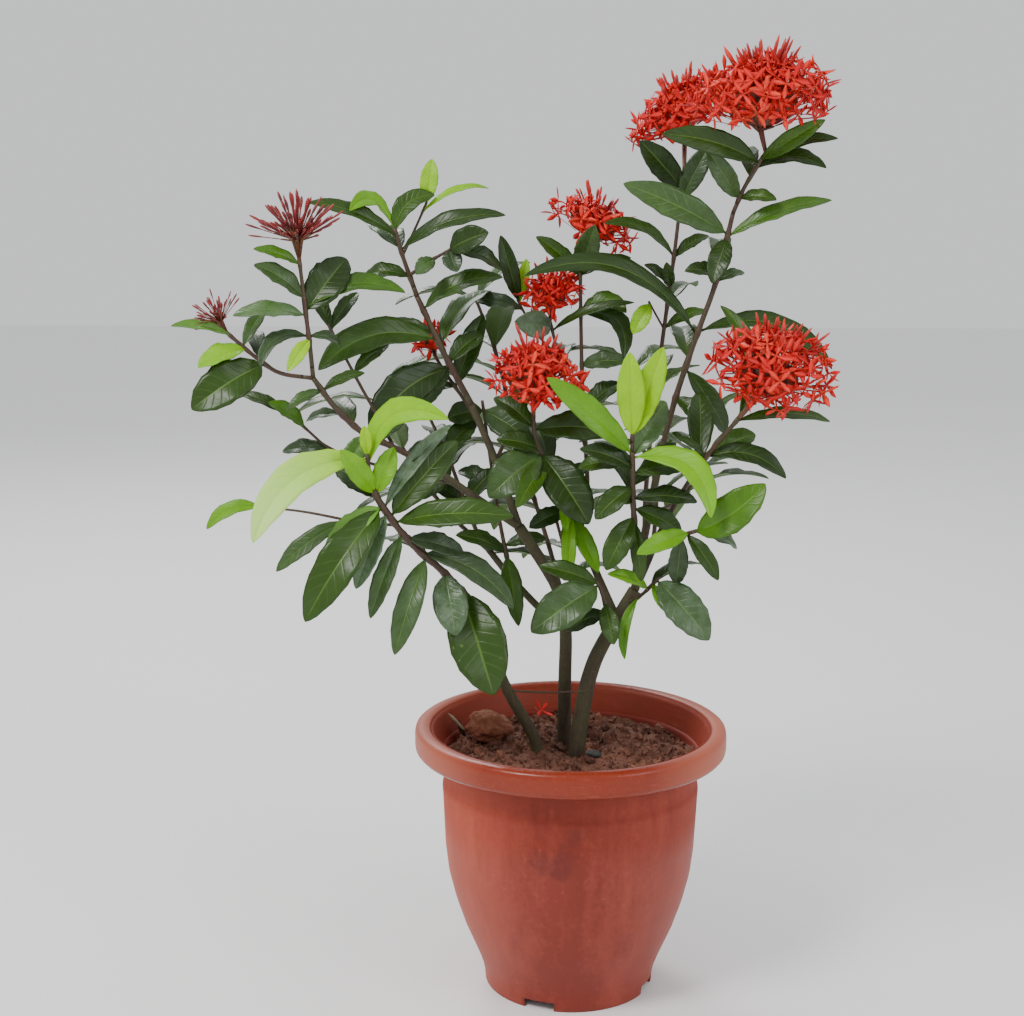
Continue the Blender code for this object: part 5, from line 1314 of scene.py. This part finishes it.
# %% The tree that sets florets on a dome
def floret_tree():
    bench, wires = new_tree("Set florets")
    loose = shapes_on(bench, wires, wires["Points"])
    loose, (x, y, z) = own_places(bench, loose, ("shape_x", "shape_y", "shape_z"))
    place, outward, root, across = [read(bench, n, "FLOAT_VECTOR") for n in ("place", "outward", "root", "across")]
    size, cup, skew = [read(bench, n) for n in ("size", "cup", "skew")]
    petal = z.over(0.5)
    reach = (x * x + y * y) ** 0.5
    height = petal * ((z - 1.0) + cup * reach ** 2.0 + skew * (x * x - y * y))
    share = (z * -1.0).most(0.0)
    over = bench.vector("CROSS_PRODUCT", outward, across)
    way = bench.vector("SUBTRACT", place, root)
    far = bench.vector("LENGTH", way).other("Value")
    knee = bench.vector("SUBTRACT", place, bench.vector("SCALE", outward, scale=far * 0.45))
    first = bench.vector("SCALE", place, scale=(1.0 - share) * (1.0 - share))
    second = bench.vector("SCALE", knee, scale=share * (1.0 - share) * 2.0)
    third = bench.vector("SCALE", root, scale=share * share)
    spine = bench.vector("ADD", bench.vector("ADD", first, second), third)
    spine = bench.vector("ADD", spine, bench.vector("SCALE", across, scale=x * size))
    spine = bench.vector("ADD", spine, bench.vector("SCALE", over, scale=y * size))
    spine = bench.vector("ADD", spine, bench.vector("SCALE", outward, scale=height * size))
    moved = bench.add("GeometryNodeSetPosition", loose,
                      sockets={"Position": bench.vector("SCALE", spine, scale=MM)})
    loose = store(bench, moved, "reach", reach * petal)
    loose = store(bench, loose, "down", share)
    return close_tree(bench, wires, bench.add("GeometryNodeSetShadeSmooth", loose))


FLORET_TREE = floret_tree()
print("floret tree:", len(FLORET_TREE.nodes), "nodes")


# %% Petal and bud finishes
PETAL_TONES = ((0.0, (0.39, 0.006, 0.006)), (0.35, (0.64, 0.010, 0.009)), (0.7, (0.81, 0.021, 0.014)),
               (1.0, (0.91, 0.09, 0.038)))
EYE_COLOUR, TUBE_COLOUR = (0.55, 0.10, 0.03), (0.30, 0.018, 0.014)


def petal_material():
    material, bench, shader = new_material("petal_red")
    reach, down, shade = field(bench, "reach"), field(bench, "down"), field(bench, "shade")
    place = object_place(bench)
    soft = speckle(bench, place, 190.0)
    fibre = speckle(bench, place, 900.0, 2.0)
    value = shade + 0.30 * (soft - 0.5) + 0.10 * reach
    body = bench.add("ShaderNodeValToRGB", value, stops=PETAL_TONES)
    body = bench.blend((0.16 - reach).most(0.0) * 4.0 * (1.0 - down.over(0.01)), body, EYE_COLOUR)
    body = bench.blend((down * 1.6).held() * 0.85, body, TUBE_COLOUR)
    feed_shader(bench, shader, body, 0.42 + 0.2 * soft, fibre, 0.3, 0.0003)
    shader.inputs["Specular IOR Level"].default_value = 0.34
    shader.inputs["Subsurface Weight"].default_value = 0.12
    shader.inputs["Subsurface Radius"].default_value = (0.004, 0.0008, 0.0005)
    return material


def bud_material(name, dark, light, tip):
    material, bench, shader = new_material(name)
    down, shade = field(bench, "down"), field(bench, "shade")
    place = object_place(bench)
    soft = speckle(bench, place, 300.0)
    body = bench.blend((shade + 0.5 * (soft - 0.5)).held(), dark, light)
    body = bench.blend((0.2 - down).most(0.0) * 3.2, body, tip)
    feed_shader(bench, shader, body, 0.38 + 0.25 * soft, soft, 0.3, 0.0004)
    return material


PETAL = petal_material()
BUD_RED = bud_material("bud_red", (0.26, 0.006, 0.008), (0.62, 0.018, 0.014), (0.62, 0.05, 0.03))
BUD_BRICK = bud_material("bud_brick", (0.07, 0.008, 0.008), (0.30, 0.022, 0.018), (0.30, 0.030, 0.030))
STALK = stem_material("flower_stalk", (0.055, 0.008, 0.006), (0.17, 0.028, 0.014), (0.13, 0.07, 0.02), 0.5, 0.0003)
print("flower finishes:", PETAL.name, BUD_RED.name, BUD_BRICK.name)


# %% Grow the flower heads
def dome_points(count, reach):
    """Directions spread evenly over a cap round +Z."""
    golden = math.pi * (3.0 - math.sqrt(5.0))
    floor = math.cos(reach)
    for k in range(count):
        z = 1.0 - (1.0 - floor) * (k + 0.5) / count
        r = math.sqrt(max(0.0, 1.0 - z * z))
        yield Vector((r * math.cos(golden * k), r * math.sin(golden * k), z))


def leaning(way, rise):
    """A step from a head's middle, sheared so that the head rises to the right."""
    return way + UP * (way.x * rise)


def wobble(draw, size):
    return Vector((draw.uniform(-1, 1), draw.uniform(-1, 1), draw.uniform(-1, 1))) * size


def surface_reach(way, radii):
    """How far a head's surface is from its middle in one direction."""
    return 1.0 / math.sqrt(sum((way[i] / radii[i]) ** 2 for i in range(3)))


def flower_row(place, outward, root, size, cup, shade, draw):
    across = outward.cross(wobble(draw, 1.0)).normalized()
    return {"place": place, "outward": outward, "root": root, "across": across, "size": size, "cup": cup,
            "skew": draw.uniform(-0.35, 0.35), "shade": shade}


for name, carrier, middle, radii, rise, axis, open_count, bud_count in HEADS:
    stem = STEMS[carrier]
    centre, tilt = spot(*middle), Vector(axis).normalized().to_track_quat("Z", "Y")
    draw = random.Random(name + " fine")
    foot, run = along(stem.points, stem.length)
    hub = centre - tilt @ Vector((0.0, 0.0, min(radii) * 0.7))
    rows, buds, stalks = [], [], []
    for way in dome_points(open_count, DOME_REACH):
        way = (tilt @ way + wobble(draw, 0.09)).normalized()
        reach = surface_reach(way, radii)
        outward = Vector([way[i] / radii[i] for i in range(3)]).normalized()
        outward = (outward + wobble(draw, 0.5)).normalized()
        place = centre + leaning(way * (reach - 3.0 + draw.uniform(-7.0, 2.0)), rise)
        place = held_in(place, FLORET_RADIUS * 0.92)
        root = hub.lerp(place, 0.28) + wobble(draw, 1.5)
        shade = draw.uniform(0.1, 0.85)
        rows.append(flower_row(place, outward, root, FLORET_RADIUS * draw.uniform(0.8, 1.08),
                               draw.uniform(-0.45, 0.5), shade, draw))
        if draw.random() < 0.4:
            stalks.append(([hub - run * 2.0, hub.lerp(place, 0.2) + wobble(draw, 1.5), root], [1.3, 1.0, 0.8]))
    for way in dome_points(bud_count, math.radians(66.0)):
        way = (tilt @ way).lerp(UP, 0.45).normalized()
        way = (way + Vector((draw.uniform(-1, 1), draw.uniform(-1, 1), 0.0)) * 0.25).normalized()
        reach = surface_reach(way, radii)
        tip = held_in(centre + leaning(way * (reach + draw.uniform(5.0, 17.0)), rise), 1.5)
        buds.append(flower_row(tip, way, hub.lerp(tip, 0.3), 1.2, 0.0, draw.uniform(0.0, 0.9), draw))
    for way in dome_points(bud_count, math.radians(96.0)):
        way = (tilt @ way + wobble(draw, 0.25)).normalized()
        reach = surface_reach(way, radii)
        tip = held_in(centre + leaning(way * (reach + draw.uniform(1.0, 9.0)), rise), 1.5)
        buds.append(flower_row(tip, way, hub.lerp(tip, 0.3), 0.8, 0.0, draw.uniform(-0.8, 0.2), draw))
    keep(grow(name + "_florets", FLORET_TREE, rows, Shape=FLORET, Finish=PETAL), "petal", name)
    keep(grow(name + "_needles", FLORET_TREE, buds, Shape=NEEDLE, Finish=BUD_RED), "bud", name)
    lines = [([foot - run * 1.5, foot + run * 3.0, hub], [stem.last, stem.last, 2.4])] + stalks
    keep(curve_piece(name + "_stalks", lines, STALK, 1), "bark", name)
    form = bmesh.new()
    bmesh.ops.create_icosphere(form, subdivisions=3, radius=1.0)
    for vert in form.verts:
        bump = 0.46 * (1.0 + 0.25 * noise.noise(vert.co * 3.0))
        step = leaning(Vector([vert.co[i] * radii[i] * bump for i in range(3)]), rise)
        vert.co = (step + centre.lerp(hub, 0.2)) * MM
    core = form_object(name + "_inner", form)
    coat(core, STALK)
    keep(core, "bud", name)
print("florets:", sum(row[6] for row in HEADS), "pieces so far:", len(MADE))

# %% [markdown]
# ## Bud heads
# Two heads at the left have not opened. Their needles stand close together like a brush.


# %% Grow the bud heads
for name, carrier, middle, reach, count in BUD_HEADS:
    stem = STEMS[carrier]
    foot, run = along(stem.points, stem.length)
    axis = (spot(*middle) - foot).normalized()
    tilt = axis.to_track_quat("Z", "Y")
    draw = random.Random(name + " fine")
    hub = foot + axis * (reach * 0.4)
    rows = []
    lines = [([foot - run * 1.5, foot + run * 2.0, hub], [stem.last, stem.last, 1.6])]
    for way in dome_points(count * 3, BUD_FAN * 0.92):
        way = (tilt @ way + wobble(draw, 0.2)).normalized()
        tip = hub + way * reach * draw.uniform(0.5, 1.24)
        rows.append(flower_row(tip, way, hub + way * reach * 0.12, reach * draw.uniform(0.024, 0.042), 0.0,
                               draw.uniform(0, 1), draw))
        if draw.random() < 0.3:
            lines.append(([foot, hub + way * reach * 0.12, hub + way * reach * 0.4], [1.2, 1.1, 0.7]))
    keep(grow(name + "_needles", FLORET_TREE, rows, Shape=NEEDLE, Finish=BUD_BRICK), "bud", name)
    keep(curve_piece(name + "_stalks", lines, STALK, 1), "bark", name)
print("pieces so far:", len(MADE))

# %% [markdown]
# ## Pot
# A thin plastic nursery pot turned from one outline: a rolled rim, a short neck, a step, and walls that run
# in to a small foot with four notches and a drain hole. The plastic is red-brown. Water has left dark
# streaks down the front. Both sides of the pot, as the camera sees them, are painted pale pinkish, most on
# the left: partly real dust, partly painted sheen and painted light from the left. The rolled rim is rubbed
# and glossy, and its top is paler at both sides, partly dust and partly a painted highlight.


# %% Pot shape
def body_radius(z):
    """The pot's outer radius at a height, between the points of BODY."""
    for (z0, r0), (z1, r1) in zip(BODY, BODY[1:]):
        if z1 <= z <= z0:
            return r1 + (r0 - r1) * (z - z1) / (z0 - z1)
    return BODY[-1][1]


FLOOR_TOP = FOOT_HEIGHT + POT_WALL
INSIDE = [(z, body_radius(z) - POT_WALL) for z in (182.0, 96.0, 52.0, 24.0)]


def pot_outline():
    """Corners of the wall's section, from the middle of the floor inside, over the rim and back underneath."""
    inner = [(0.0, FLOOR_TOP), (FOOT_RADIUS - 6.0, FLOOR_TOP)]
    inner += [(r, z) for z, r in reversed(INSIDE)]
    low = POT_HEIGHT - RIM_DEPTH
    inner += [(MOUTH_RADIUS - 2.0, POT_HEIGHT - 5.0), (MOUTH_RADIUS - 0.6, POT_HEIGHT - 1.8)]
    rim = []
    for k in range(9):
        a = math.pi * (1.0 - k / 8.0)
        middle, half = (MOUTH_RADIUS + RIM_RADIUS) * 0.5, (RIM_RADIUS - MOUTH_RADIUS) * 0.5 - 0.4
        rim.append((middle + half * math.cos(a), POT_HEIGHT - 3.4 + 3.4 * math.sin(a)))
    side = [(RIM_RADIUS, POT_HEIGHT - 6.0), (RIM_RADIUS, low + 6.0), (RIM_RADIUS - 0.5, low + 3.0),
            (RIM_RADIUS - 2.6, low + 0.6), (RIM_RADIUS - 5.0, low), (BODY[0][1] + 1.0, low)]
    body = [(BODY[0][1], low - 2.0), (BODY[0][1], 173.0), (BODY[1][1] + 0.6, 170.6), (BODY[2][1] - 0.3, 168.6),
            (BODY[2][1] - 0.1, 166.0)]
    height = 160.0
    while height > 16.0:
        body.append((body_radius(height) - 0.15, height))
        height -= 6.0
    body += [(BODY[-1][1] - 0.1, 15.5), (FOOT_RADIUS + 0.4, 8.0), (FOOT_RADIUS - 0.1, 1.2), (FOOT_RADIUS - 0.8, 0.0)]
    under = [(FOOT_RADIUS - FOOT_WALL, 0.0), (FOOT_RADIUS - FOOT_WALL - 1.0, FOOT_HEIGHT), (0.0, FOOT_HEIGHT)]
    return inner + rim + side + body + under


def build_pot():
    outline = pot_outline()
    form = bmesh.new()
    rings = []
    for r, z in outline:
        if r == 0.0:
            rings.append([form.verts.new((0.0, 0.0, z * MM))])
            continue
        ring = []
        for k in range(POT_SPOKES):
            a = 2.0 * math.pi * k / POT_SPOKES
            depth, turns, rise = (0.0006, 3.0, 9.0) if r > RIM_RADIUS - 4.0 else (0.0022, 1.4, 70.0)
            where = Vector((math.cos(a) * turns, math.sin(a) * turns, z / rise))
            wave = 1.0 - depth * (1.0 + noise.noise(where))
            ring.append(form.verts.new((r * wave * math.cos(a) * MM, r * wave * math.sin(a) * MM, z * MM)))
        rings.append(ring)
    for one, two in zip(rings, rings[1:]):
        for k in range(POT_SPOKES):
            j = (k + 1) % POT_SPOKES
            quad = [one[k % len(one)], one[j % len(one)], two[j % len(two)], two[k % len(two)]]
            form.faces.new(list(dict.fromkeys(quad)))
    bmesh.ops.recalc_face_normals(form, faces=form.faces)
    pot = form_object("pot_wall", form)
    cutters = []
    for angle in NOTCH_ANGLES:
        turn = math.radians(angle - 90.0)
        bpy.ops.mesh.primitive_cube_add(size=1.0)
        notch = bpy.context.object
        notch.scale = (14.0 * MM, NOTCH_WIDTH * MM, 2.0 * (FOOT_HEIGHT - 0.5) * MM)
        notch.rotation_euler = (0.0, 0.0, turn)
        notch.location = (FOOT_RADIUS * MM * math.cos(turn), FOOT_RADIUS * MM * math.sin(turn), 0.0)
        cutters.append(notch)
    bpy.ops.mesh.primitive_cylinder_add(vertices=24, radius=DRAIN_RADIUS * MM, depth=12.0 * MM)
    bpy.context.object.location = (0.0, 0.0, FOOT_HEIGHT * MM)
    cutters.append(bpy.context.object)
    for cutter in cutters:
        hole = pot.modifiers.new("Hole", "BOOLEAN")
        hole.operation = "DIFFERENCE"
        hole.solver = "EXACT"
        hole.object = cutter
    pot = plain(pot, "pot_wall")
    for cutter in cutters:
        bpy.data.objects.remove(cutter)
    pot.data.materials.clear()
    pot.data.shade_smooth()
    for edge in pot.data.edges:
        edge.use_edge_sharp = False
    return pot


POT = build_pot()
print("pot:", len(POT.data.polygons), "faces")


# %% Pot finish
PLASTIC, PLASTIC_LIGHT = (0.150, 0.013, 0.005), (0.235, 0.024, 0.010)
# The second colour here is a pale pinkish tone: partly real dust, partly painted sheen and painted light.
STAIN, DUST_AND_SHEEN, SPLASH, GRIT = (0.105, 0.006, 0.002), (0.60, 0.125, 0.075), (0.45, 0.15, 0.10), (0.13, 0.035, 0.02)
RIM, RIM_LIGHT = (0.19, 0.016, 0.002), (0.30, 0.032, 0.005)
# The first colour is the rim's pale tone: partly dust, partly a painted highlight.
RIM_DUST_AND_HIGHLIGHT, SCRATCH = (0.56, 0.150, 0.080), (0.50, 0.15, 0.09)
NECK_TOP, RIM_FROM, RIM_DUST_AND_HIGHLIGHT_FROM, RIM_OUTSIDE = 0.197, 0.195, 0.1985, 0.1125  # heights and a radius, in metres


def pot_material():
    material, bench, shader = new_material("pot_plastic")
    place = object_place(bench)
    parts = bench.add("ShaderNodeSeparateXYZ", place)
    x, y, z = [parts.other(k) - AXIS[k] for k in range(3)]
    broad = speckle(bench, place, 14.0, 4.0)
    fine = speckle(bench, place, 210.0, 5.0, 0.65)
    grit = speckle(bench, place, 1100.0, 2.0)
    runs = speckle(bench, bench.vector("MULTIPLY", place, (1.0, 1.0, 0.16)), 75.0, 4.0, 0.6)
    scuffs = speckle(bench, bench.vector("MULTIPLY", place, (0.25, 0.25, 2.4)), 160.0, 3.0, 0.6)
    body = bench.blend(broad, PLASTIC, PLASTIC_LIGHT)
    low = ((NECK_TOP - z) * 60.0).held()
    front = ((y * -1.0 - 0.05) * 22.0).held()
    band = (1.0 - abs((z - 0.142) * 26.0)).held() * (1.0 - abs((x + 0.010) * 17.0)).held()
    patch = speckle(bench, place, 34.0, 3.0, 0.5)
    stain = ((band * 1.5 + patch * 3.0 - 2.35) * 2.5).held() * front * low
    body = bench.blend(stain * 0.6, body, STAIN)
    # Dust mixed with painted sheen and light: pale at both sides of the pot as the camera sees them, heavier on the
    # left, where the key light falls.
    sides = ((abs(x + 0.008) - 0.012) * 11.0).held()
    left = ((x * -1.0 + 0.06) * 9.0).held()
    dust_and_sheen = (sides * (0.35 + left * 0.65) + (runs - 0.5) * 0.8 + (fine - 0.5) * 0.5 + 0.02).held() * low
    body = bench.blend(dust_and_sheen * 0.62, body, DUST_AND_SHEEN)
    splash = (fine * 5.0 - 3.1).held() * low
    body = bench.blend(splash * 0.28, body, SPLASH)
    rim = ((z - RIM_FROM) * 400.0).held()
    body = bench.blend(rim * 0.72, body, bench.blend(fine, RIM, RIM_LIGHT))
    # The rim's top is paler at both sides as the camera sees them: partly dust, partly a painted highlight.
    rim_dust_and_highlight = ((abs(x + 0.006) - 0.062) * 22.0).held() * rim * ((z - RIM_DUST_AND_HIGHLIGHT_FROM) * 400.0).held()
    outside = ((((x * x + y * y) ** 0.5) - RIM_OUTSIDE) * 700.0).held()
    body = bench.blend(rim_dust_and_highlight * outside * 0.5, body, RIM_DUST_AND_HIGHLIGHT)
    scratch = (scuffs * 5.0 - 3.0).held() * rim
    body = bench.blend(scratch * 0.3, body, SCRATCH)
    body = bench.blend((grit * 6.0 - 3.9).held() * 0.4, body, GRIT)
    rough = 0.42 + 0.22 * dust_and_sheen + 0.16 * (fine - 0.5) - 0.16 * rim - 0.12 * stain + 0.12 * scratch
    rough = rough + 0.22 * rim_dust_and_highlight + 0.3 * (1.0 - outside) * (z * 40.0 - 5.0).held()
    height = fine * 0.5 + grit * 0.3 + scuffs * 0.4 * rim
    feed_shader(bench, shader, body, rough, height, 0.35, 0.0006)
    shader.inputs["Specular IOR Level"].default_value = 0.4
    return material


POT_PLASTIC = pot_material()
POT.data.materials.append(POT_PLASTIC)
keep(POT, "pot", "pot")
print("pot finished")

# %% [markdown]
# ## Soil
# The soil is crumbled red earth. A fine ring grid carries the broad lumps of the solid, with smaller ones on
# top. Loose crumbs of three shapes are scattered over it by nodes.


# %% Soil bed
def soil_height(x, y):
    """Crumbled soil: lumps by noise, a little higher at the middle."""
    lumps = noise.noise(Vector((x, y, 3.0)) / 17.0) + 0.6 * noise.noise(Vector((x, y, 9.0)) / 8.0)
    return SOIL_TOP + LUMP * lumps + 3.0 * (1.0 - math.hypot(x, y) / 98.0)


def soil_bed():
    rings, spokes = BED_RINGS, BED_SPOKES
    corners, faces = [Vector((0.0, 0.0, soil_height(0.0, 0.0)))], []
    for ring in range(1, rings + 1):
        for k in range(spokes):
            a = 2.0 * math.pi * k / spokes
            r = BED_EDGE * ring / rings
            x, y = r * math.cos(a), r * math.sin(a)
            fine = noise.noise(Vector((x, y, 20.0)) / 4.2) + 0.5 * noise.noise(Vector((x, y, 31.0)) / 1.9)
            sink = 1.5 * (ring / rings) ** 8
            corners.append(Vector((x, y, soil_height(x, y) + 1.9 * fine - sink)))
    depths = [(r * math.cos(math.pi / POT_STEPS) - GAP, z) for z, r in INSIDE]
    depths.append((FOOT_RADIUS - 8.0, FLOOR_TOP + GAP))
    for r, z in depths:
        for k in range(spokes):
            a = 2.0 * math.pi * k / spokes
            corners.append(Vector((r * math.cos(a), r * math.sin(a), z)))
    for k in range(spokes):
        faces.append((0, 1 + k, 1 + (k + 1) % spokes))
    for ring in range(rings + len(depths) - 1):
        for k in range(spokes):
            a, b = 1 + ring * spokes + k, 1 + ring * spokes + (k + 1) % spokes
            faces.append((a, a + spokes, b + spokes, b))
    last = 1 + (rings + len(depths) - 1) * spokes
    faces.append(tuple(last + k for k in reversed(range(spokes))))
    return shape_object("soil_bed", [c * MM for c in corners], faces)


def earth_material(name, dark, mid, light, rough):
    material, bench, shader = new_material(name)
    place = object_place(bench)
    broad = speckle(bench, place, 60.0, 4.0)
    crumb = speckle(bench, place, 320.0, 5.0, 0.7)
    grain = speckle(bench, place, 1500.0, 3.0, 0.6)
    value = broad * 0.55 + crumb * 0.65 - 0.1 + field(bench, "tint") * 0.2
    body = bench.add("ShaderNodeValToRGB", value.held(), stops=[(0.15, dark), (0.5, mid), (0.85, light)])
    body = bench.blend((grain * 4.0 - 2.3).held() * 0.5, body, light)
    feed_shader(bench, shader, body, rough + 0.2 * crumb, crumb + grain * 0.5, 0.8, 0.0022)
    return material


EARTH = earth_material("red_earth", (0.056, 0.019, 0.011), (0.160, 0.057, 0.032), (0.28, 0.112, 0.064), 0.74)
CLOD = earth_material("orange_clod", (0.12, 0.036, 0.016), (0.25, 0.082, 0.040), (0.36, 0.145, 0.080), 0.78)
BED = soil_bed()
coat(BED, EARTH)
keep(BED, "soil", "soil")
print("soil bed:", len(BED.data.polygons), "faces")


# %% Crumbs and clod
def pebble(name, seed, detail, rough):
    form = bmesh.new()
    bmesh.ops.create_icosphere(form, subdivisions=detail, radius=1.0)
    for vert in form.verts:
        bump = 1.0 + rough * noise.noise(vert.co * 1.6 + Vector((seed, seed * 2.0, 1.0)))
        bump += 0.4 * rough * noise.noise(vert.co * 4.5 + Vector((seed, 3.0, seed)))
        vert.co = vert.co * bump
    return form_object(name, form)


def crumb_tree():
    """Sets a crumb on every point, turned and sized by the point's own values."""
    bench, wires = new_tree("Scatter crumbs")
    place, turn, sizes = [read(bench, name, "FLOAT_VECTOR") for name in ("place", "turn", "sizes")]
    spread = bench.add("GeometryNodeSetPosition", wires["Points"], sockets={"Position": place})
    return close_tree(bench, wires, shapes_on(bench, wires, spread, Rotation=turn, Scale=sizes))


CRUMB_TREE = crumb_tree()
draw = random.Random(7)
for k, (count, small, large) in enumerate(((80, 3.6, 6.6), (380, 1.8, 3.6), (1300, 0.7, 1.8))):
    rows = []
    for _ in range(count):
        r, a = CRUMB_REACH * math.sqrt(draw.random()), draw.uniform(0.0, 2.0 * math.pi)
        x, y = r * math.cos(a), r * math.sin(a)
        size = draw.uniform(small, large)
        z = soil_height(x, y) + size * 0.25
        rows.append({"place": Vector((x, y, z)) * MM, "turn": wobble(draw, 3.0),
                     "sizes": Vector((size, size * draw.uniform(0.6, 1.0), size * draw.uniform(0.5, 0.9))) * MM,
                     "tint": draw.uniform(-1.0, 1.0)})
    stone = pebble("crumb", 2.0 + k, 2 if k == 0 else 1, 0.95)
    crumbs = grow("soil_crumbs_" + "abc"[k], CRUMB_TREE, rows, Shape=stone, Finish=EARTH)
    bpy.data.objects.remove(stone)
    keep(crumbs, "soil", "soil")

clod = pebble("clod_fine", 4.0, 5, 0.3)
shape = Matrix.Translation(spot(*CLOD_AT) * MM) @ Matrix.Rotation(0.35, 4, "Y") @ Matrix.Rotation(0.5, 4, "Z")
for vert in clod.data.vertices:
    rough = 1.0 + 0.05 * noise.noise(vert.co * 6.0) + 0.03 * noise.noise(vert.co * 15.0)
    vert.co = shape @ (Vector([vert.co[i] * CLOD_SIZE[i] * rough for i in range(3)]) * MM)
coat(clod, CLOD)
keep(clod, "clod", "clod")
print("pieces so far:", len(MADE))


# %% Fallen petals and chips
def chip(name, middle, sizes, turn, lean, material):
    piece = pebble(name, 9.0, 3, 0.35)
    shape = Matrix.Translation(middle * MM) @ Matrix.Rotation(turn, 4, "Z") @ Matrix.Rotation(lean, 4, "Y")
    for vert in piece.data.vertices:
        vert.co = shape @ (Vector([vert.co[i] * sizes[i] for i in range(3)]) * MM)
    coat(piece, material)
    keep(piece, "soil", "soil")


PALE = earth_material("pale_chip", (0.20, 0.15, 0.09), (0.36, 0.30, 0.20), (0.5, 0.44, 0.33), 0.6)
GREY = earth_material("grey_chip", (0.014, 0.014, 0.012), (0.032, 0.032, 0.030), (0.07, 0.07, 0.066), 0.6)
chip("chip_pale", spot(-91.0, 217.0, 34.0), (10.5, 2.4, 1.3), 0.2, 0.85, PALE)
chip("chip_green", spot(-88.0, 212.0, 38.0), (9.0, 3.0, 1.0), 0.9, 1.1, BARK)
chip("chip_grey", spot(19.0, 191.0, -70.0), (6.5, 4.5, 3.0), 0.3, 0.2, GREY)
fallen = spot(-23.0, 228.0, 80.0)
fallen.z = max(fallen.z, soil_height(fallen.x, fallen.y) + 3.0)
outward = Vector((0.55, -0.5, 0.65)).normalized()
row = flower_row(fallen, outward, fallen + Vector((-6.0, 10.0, -1.0)), 10.5, 0.3, 0.35, draw)
keep(grow("fallen_floret", FLORET_TREE, [row], Shape=FLORET, Finish=PETAL), "petal", "soil")
for template in (STRIP, FLORET, NEEDLE):
    bpy.data.objects.remove(template)
print("pieces:", len(MADE))

# %% [markdown]
# ## Floor and light
# The photograph has a plain white ground. A pale floor and wide soft lights give the same even light, with
# the key from above and a little to the left.


# %% Floor, lights and sky
FLOOR_HALF = 6.0
WHITE = (0.97, 0.98, 1.0)
SKY_STRENGTH = 0.85
LAMPS = (  # name, place, aim, size, power, colour
    ("key", (-1.1, -1.2, 2.1), (0.0, 0.0, 0.4), 0.8, 38.0, (1.0, 0.98, 0.95)),
    ("fill", (1.9, -1.6, 1.4), (0.0, 0.0, 0.4), 1.4, 16.0, WHITE),
    ("back", (-0.6, 1.8, 1.9), (0.0, 0.0, 0.5), 1.0, 24.0, (1.0, 1.0, 1.0)),
)

floor_mesh = bpy.data.meshes.new("floor")
ends = (-FLOOR_HALF, FLOOR_HALF)
floor_mesh.from_pydata([(x, y, 0.0) for y in ends for x in ends], [], [(0, 1, 3, 2)])
floor = bare_object("floor", floor_mesh)
floor_paint, bench, shader = new_material("floor")
shade = speckle(bench, object_place(bench), 3.0)
bench.feed(shader.inputs["Base Color"], bench.blend(shade, (0.86, 0.86, 0.855), (0.90, 0.90, 0.895)))
shader.inputs["Roughness"].default_value = 0.85
floor_mesh.materials.append(floor_paint)
floor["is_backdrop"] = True

for name, place, aim, size, power, colour in LAMPS:
    light = bpy.data.lights.new(name, "AREA")
    light.shape = "DISK"
    light.size, light.energy, light.color = size, power, colour
    lamp = bare_object(name, light)
    lamp.location = place
    lamp.rotation_euler = (Vector(aim) - Vector(place)).to_track_quat("-Z", "Y").to_euler()

scene.world = bpy.data.worlds.new("studio")
scene.world.use_nodes = True
sky = scene.world.node_tree.nodes["Background"].inputs
sky[0].default_value = (*WHITE, 1.0)
sky[1].default_value = SKY_STRENGTH

# %% [markdown]
# ## Sizes
# The solids' box and the finished pieces' box are printed side by side.


# %% Print both boxes
bpy.context.view_layer.update()
FINE_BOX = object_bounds()
for name, box in (("solids", CAD_BOX), ("pieces", FINE_BOX)):
    print(name, [[round(v * 1000, 1) for v in corner] for corner in box])
print("triangles:", sum(len(face.vertices) - 2 for piece in MADE for face in piece.data.polygons))
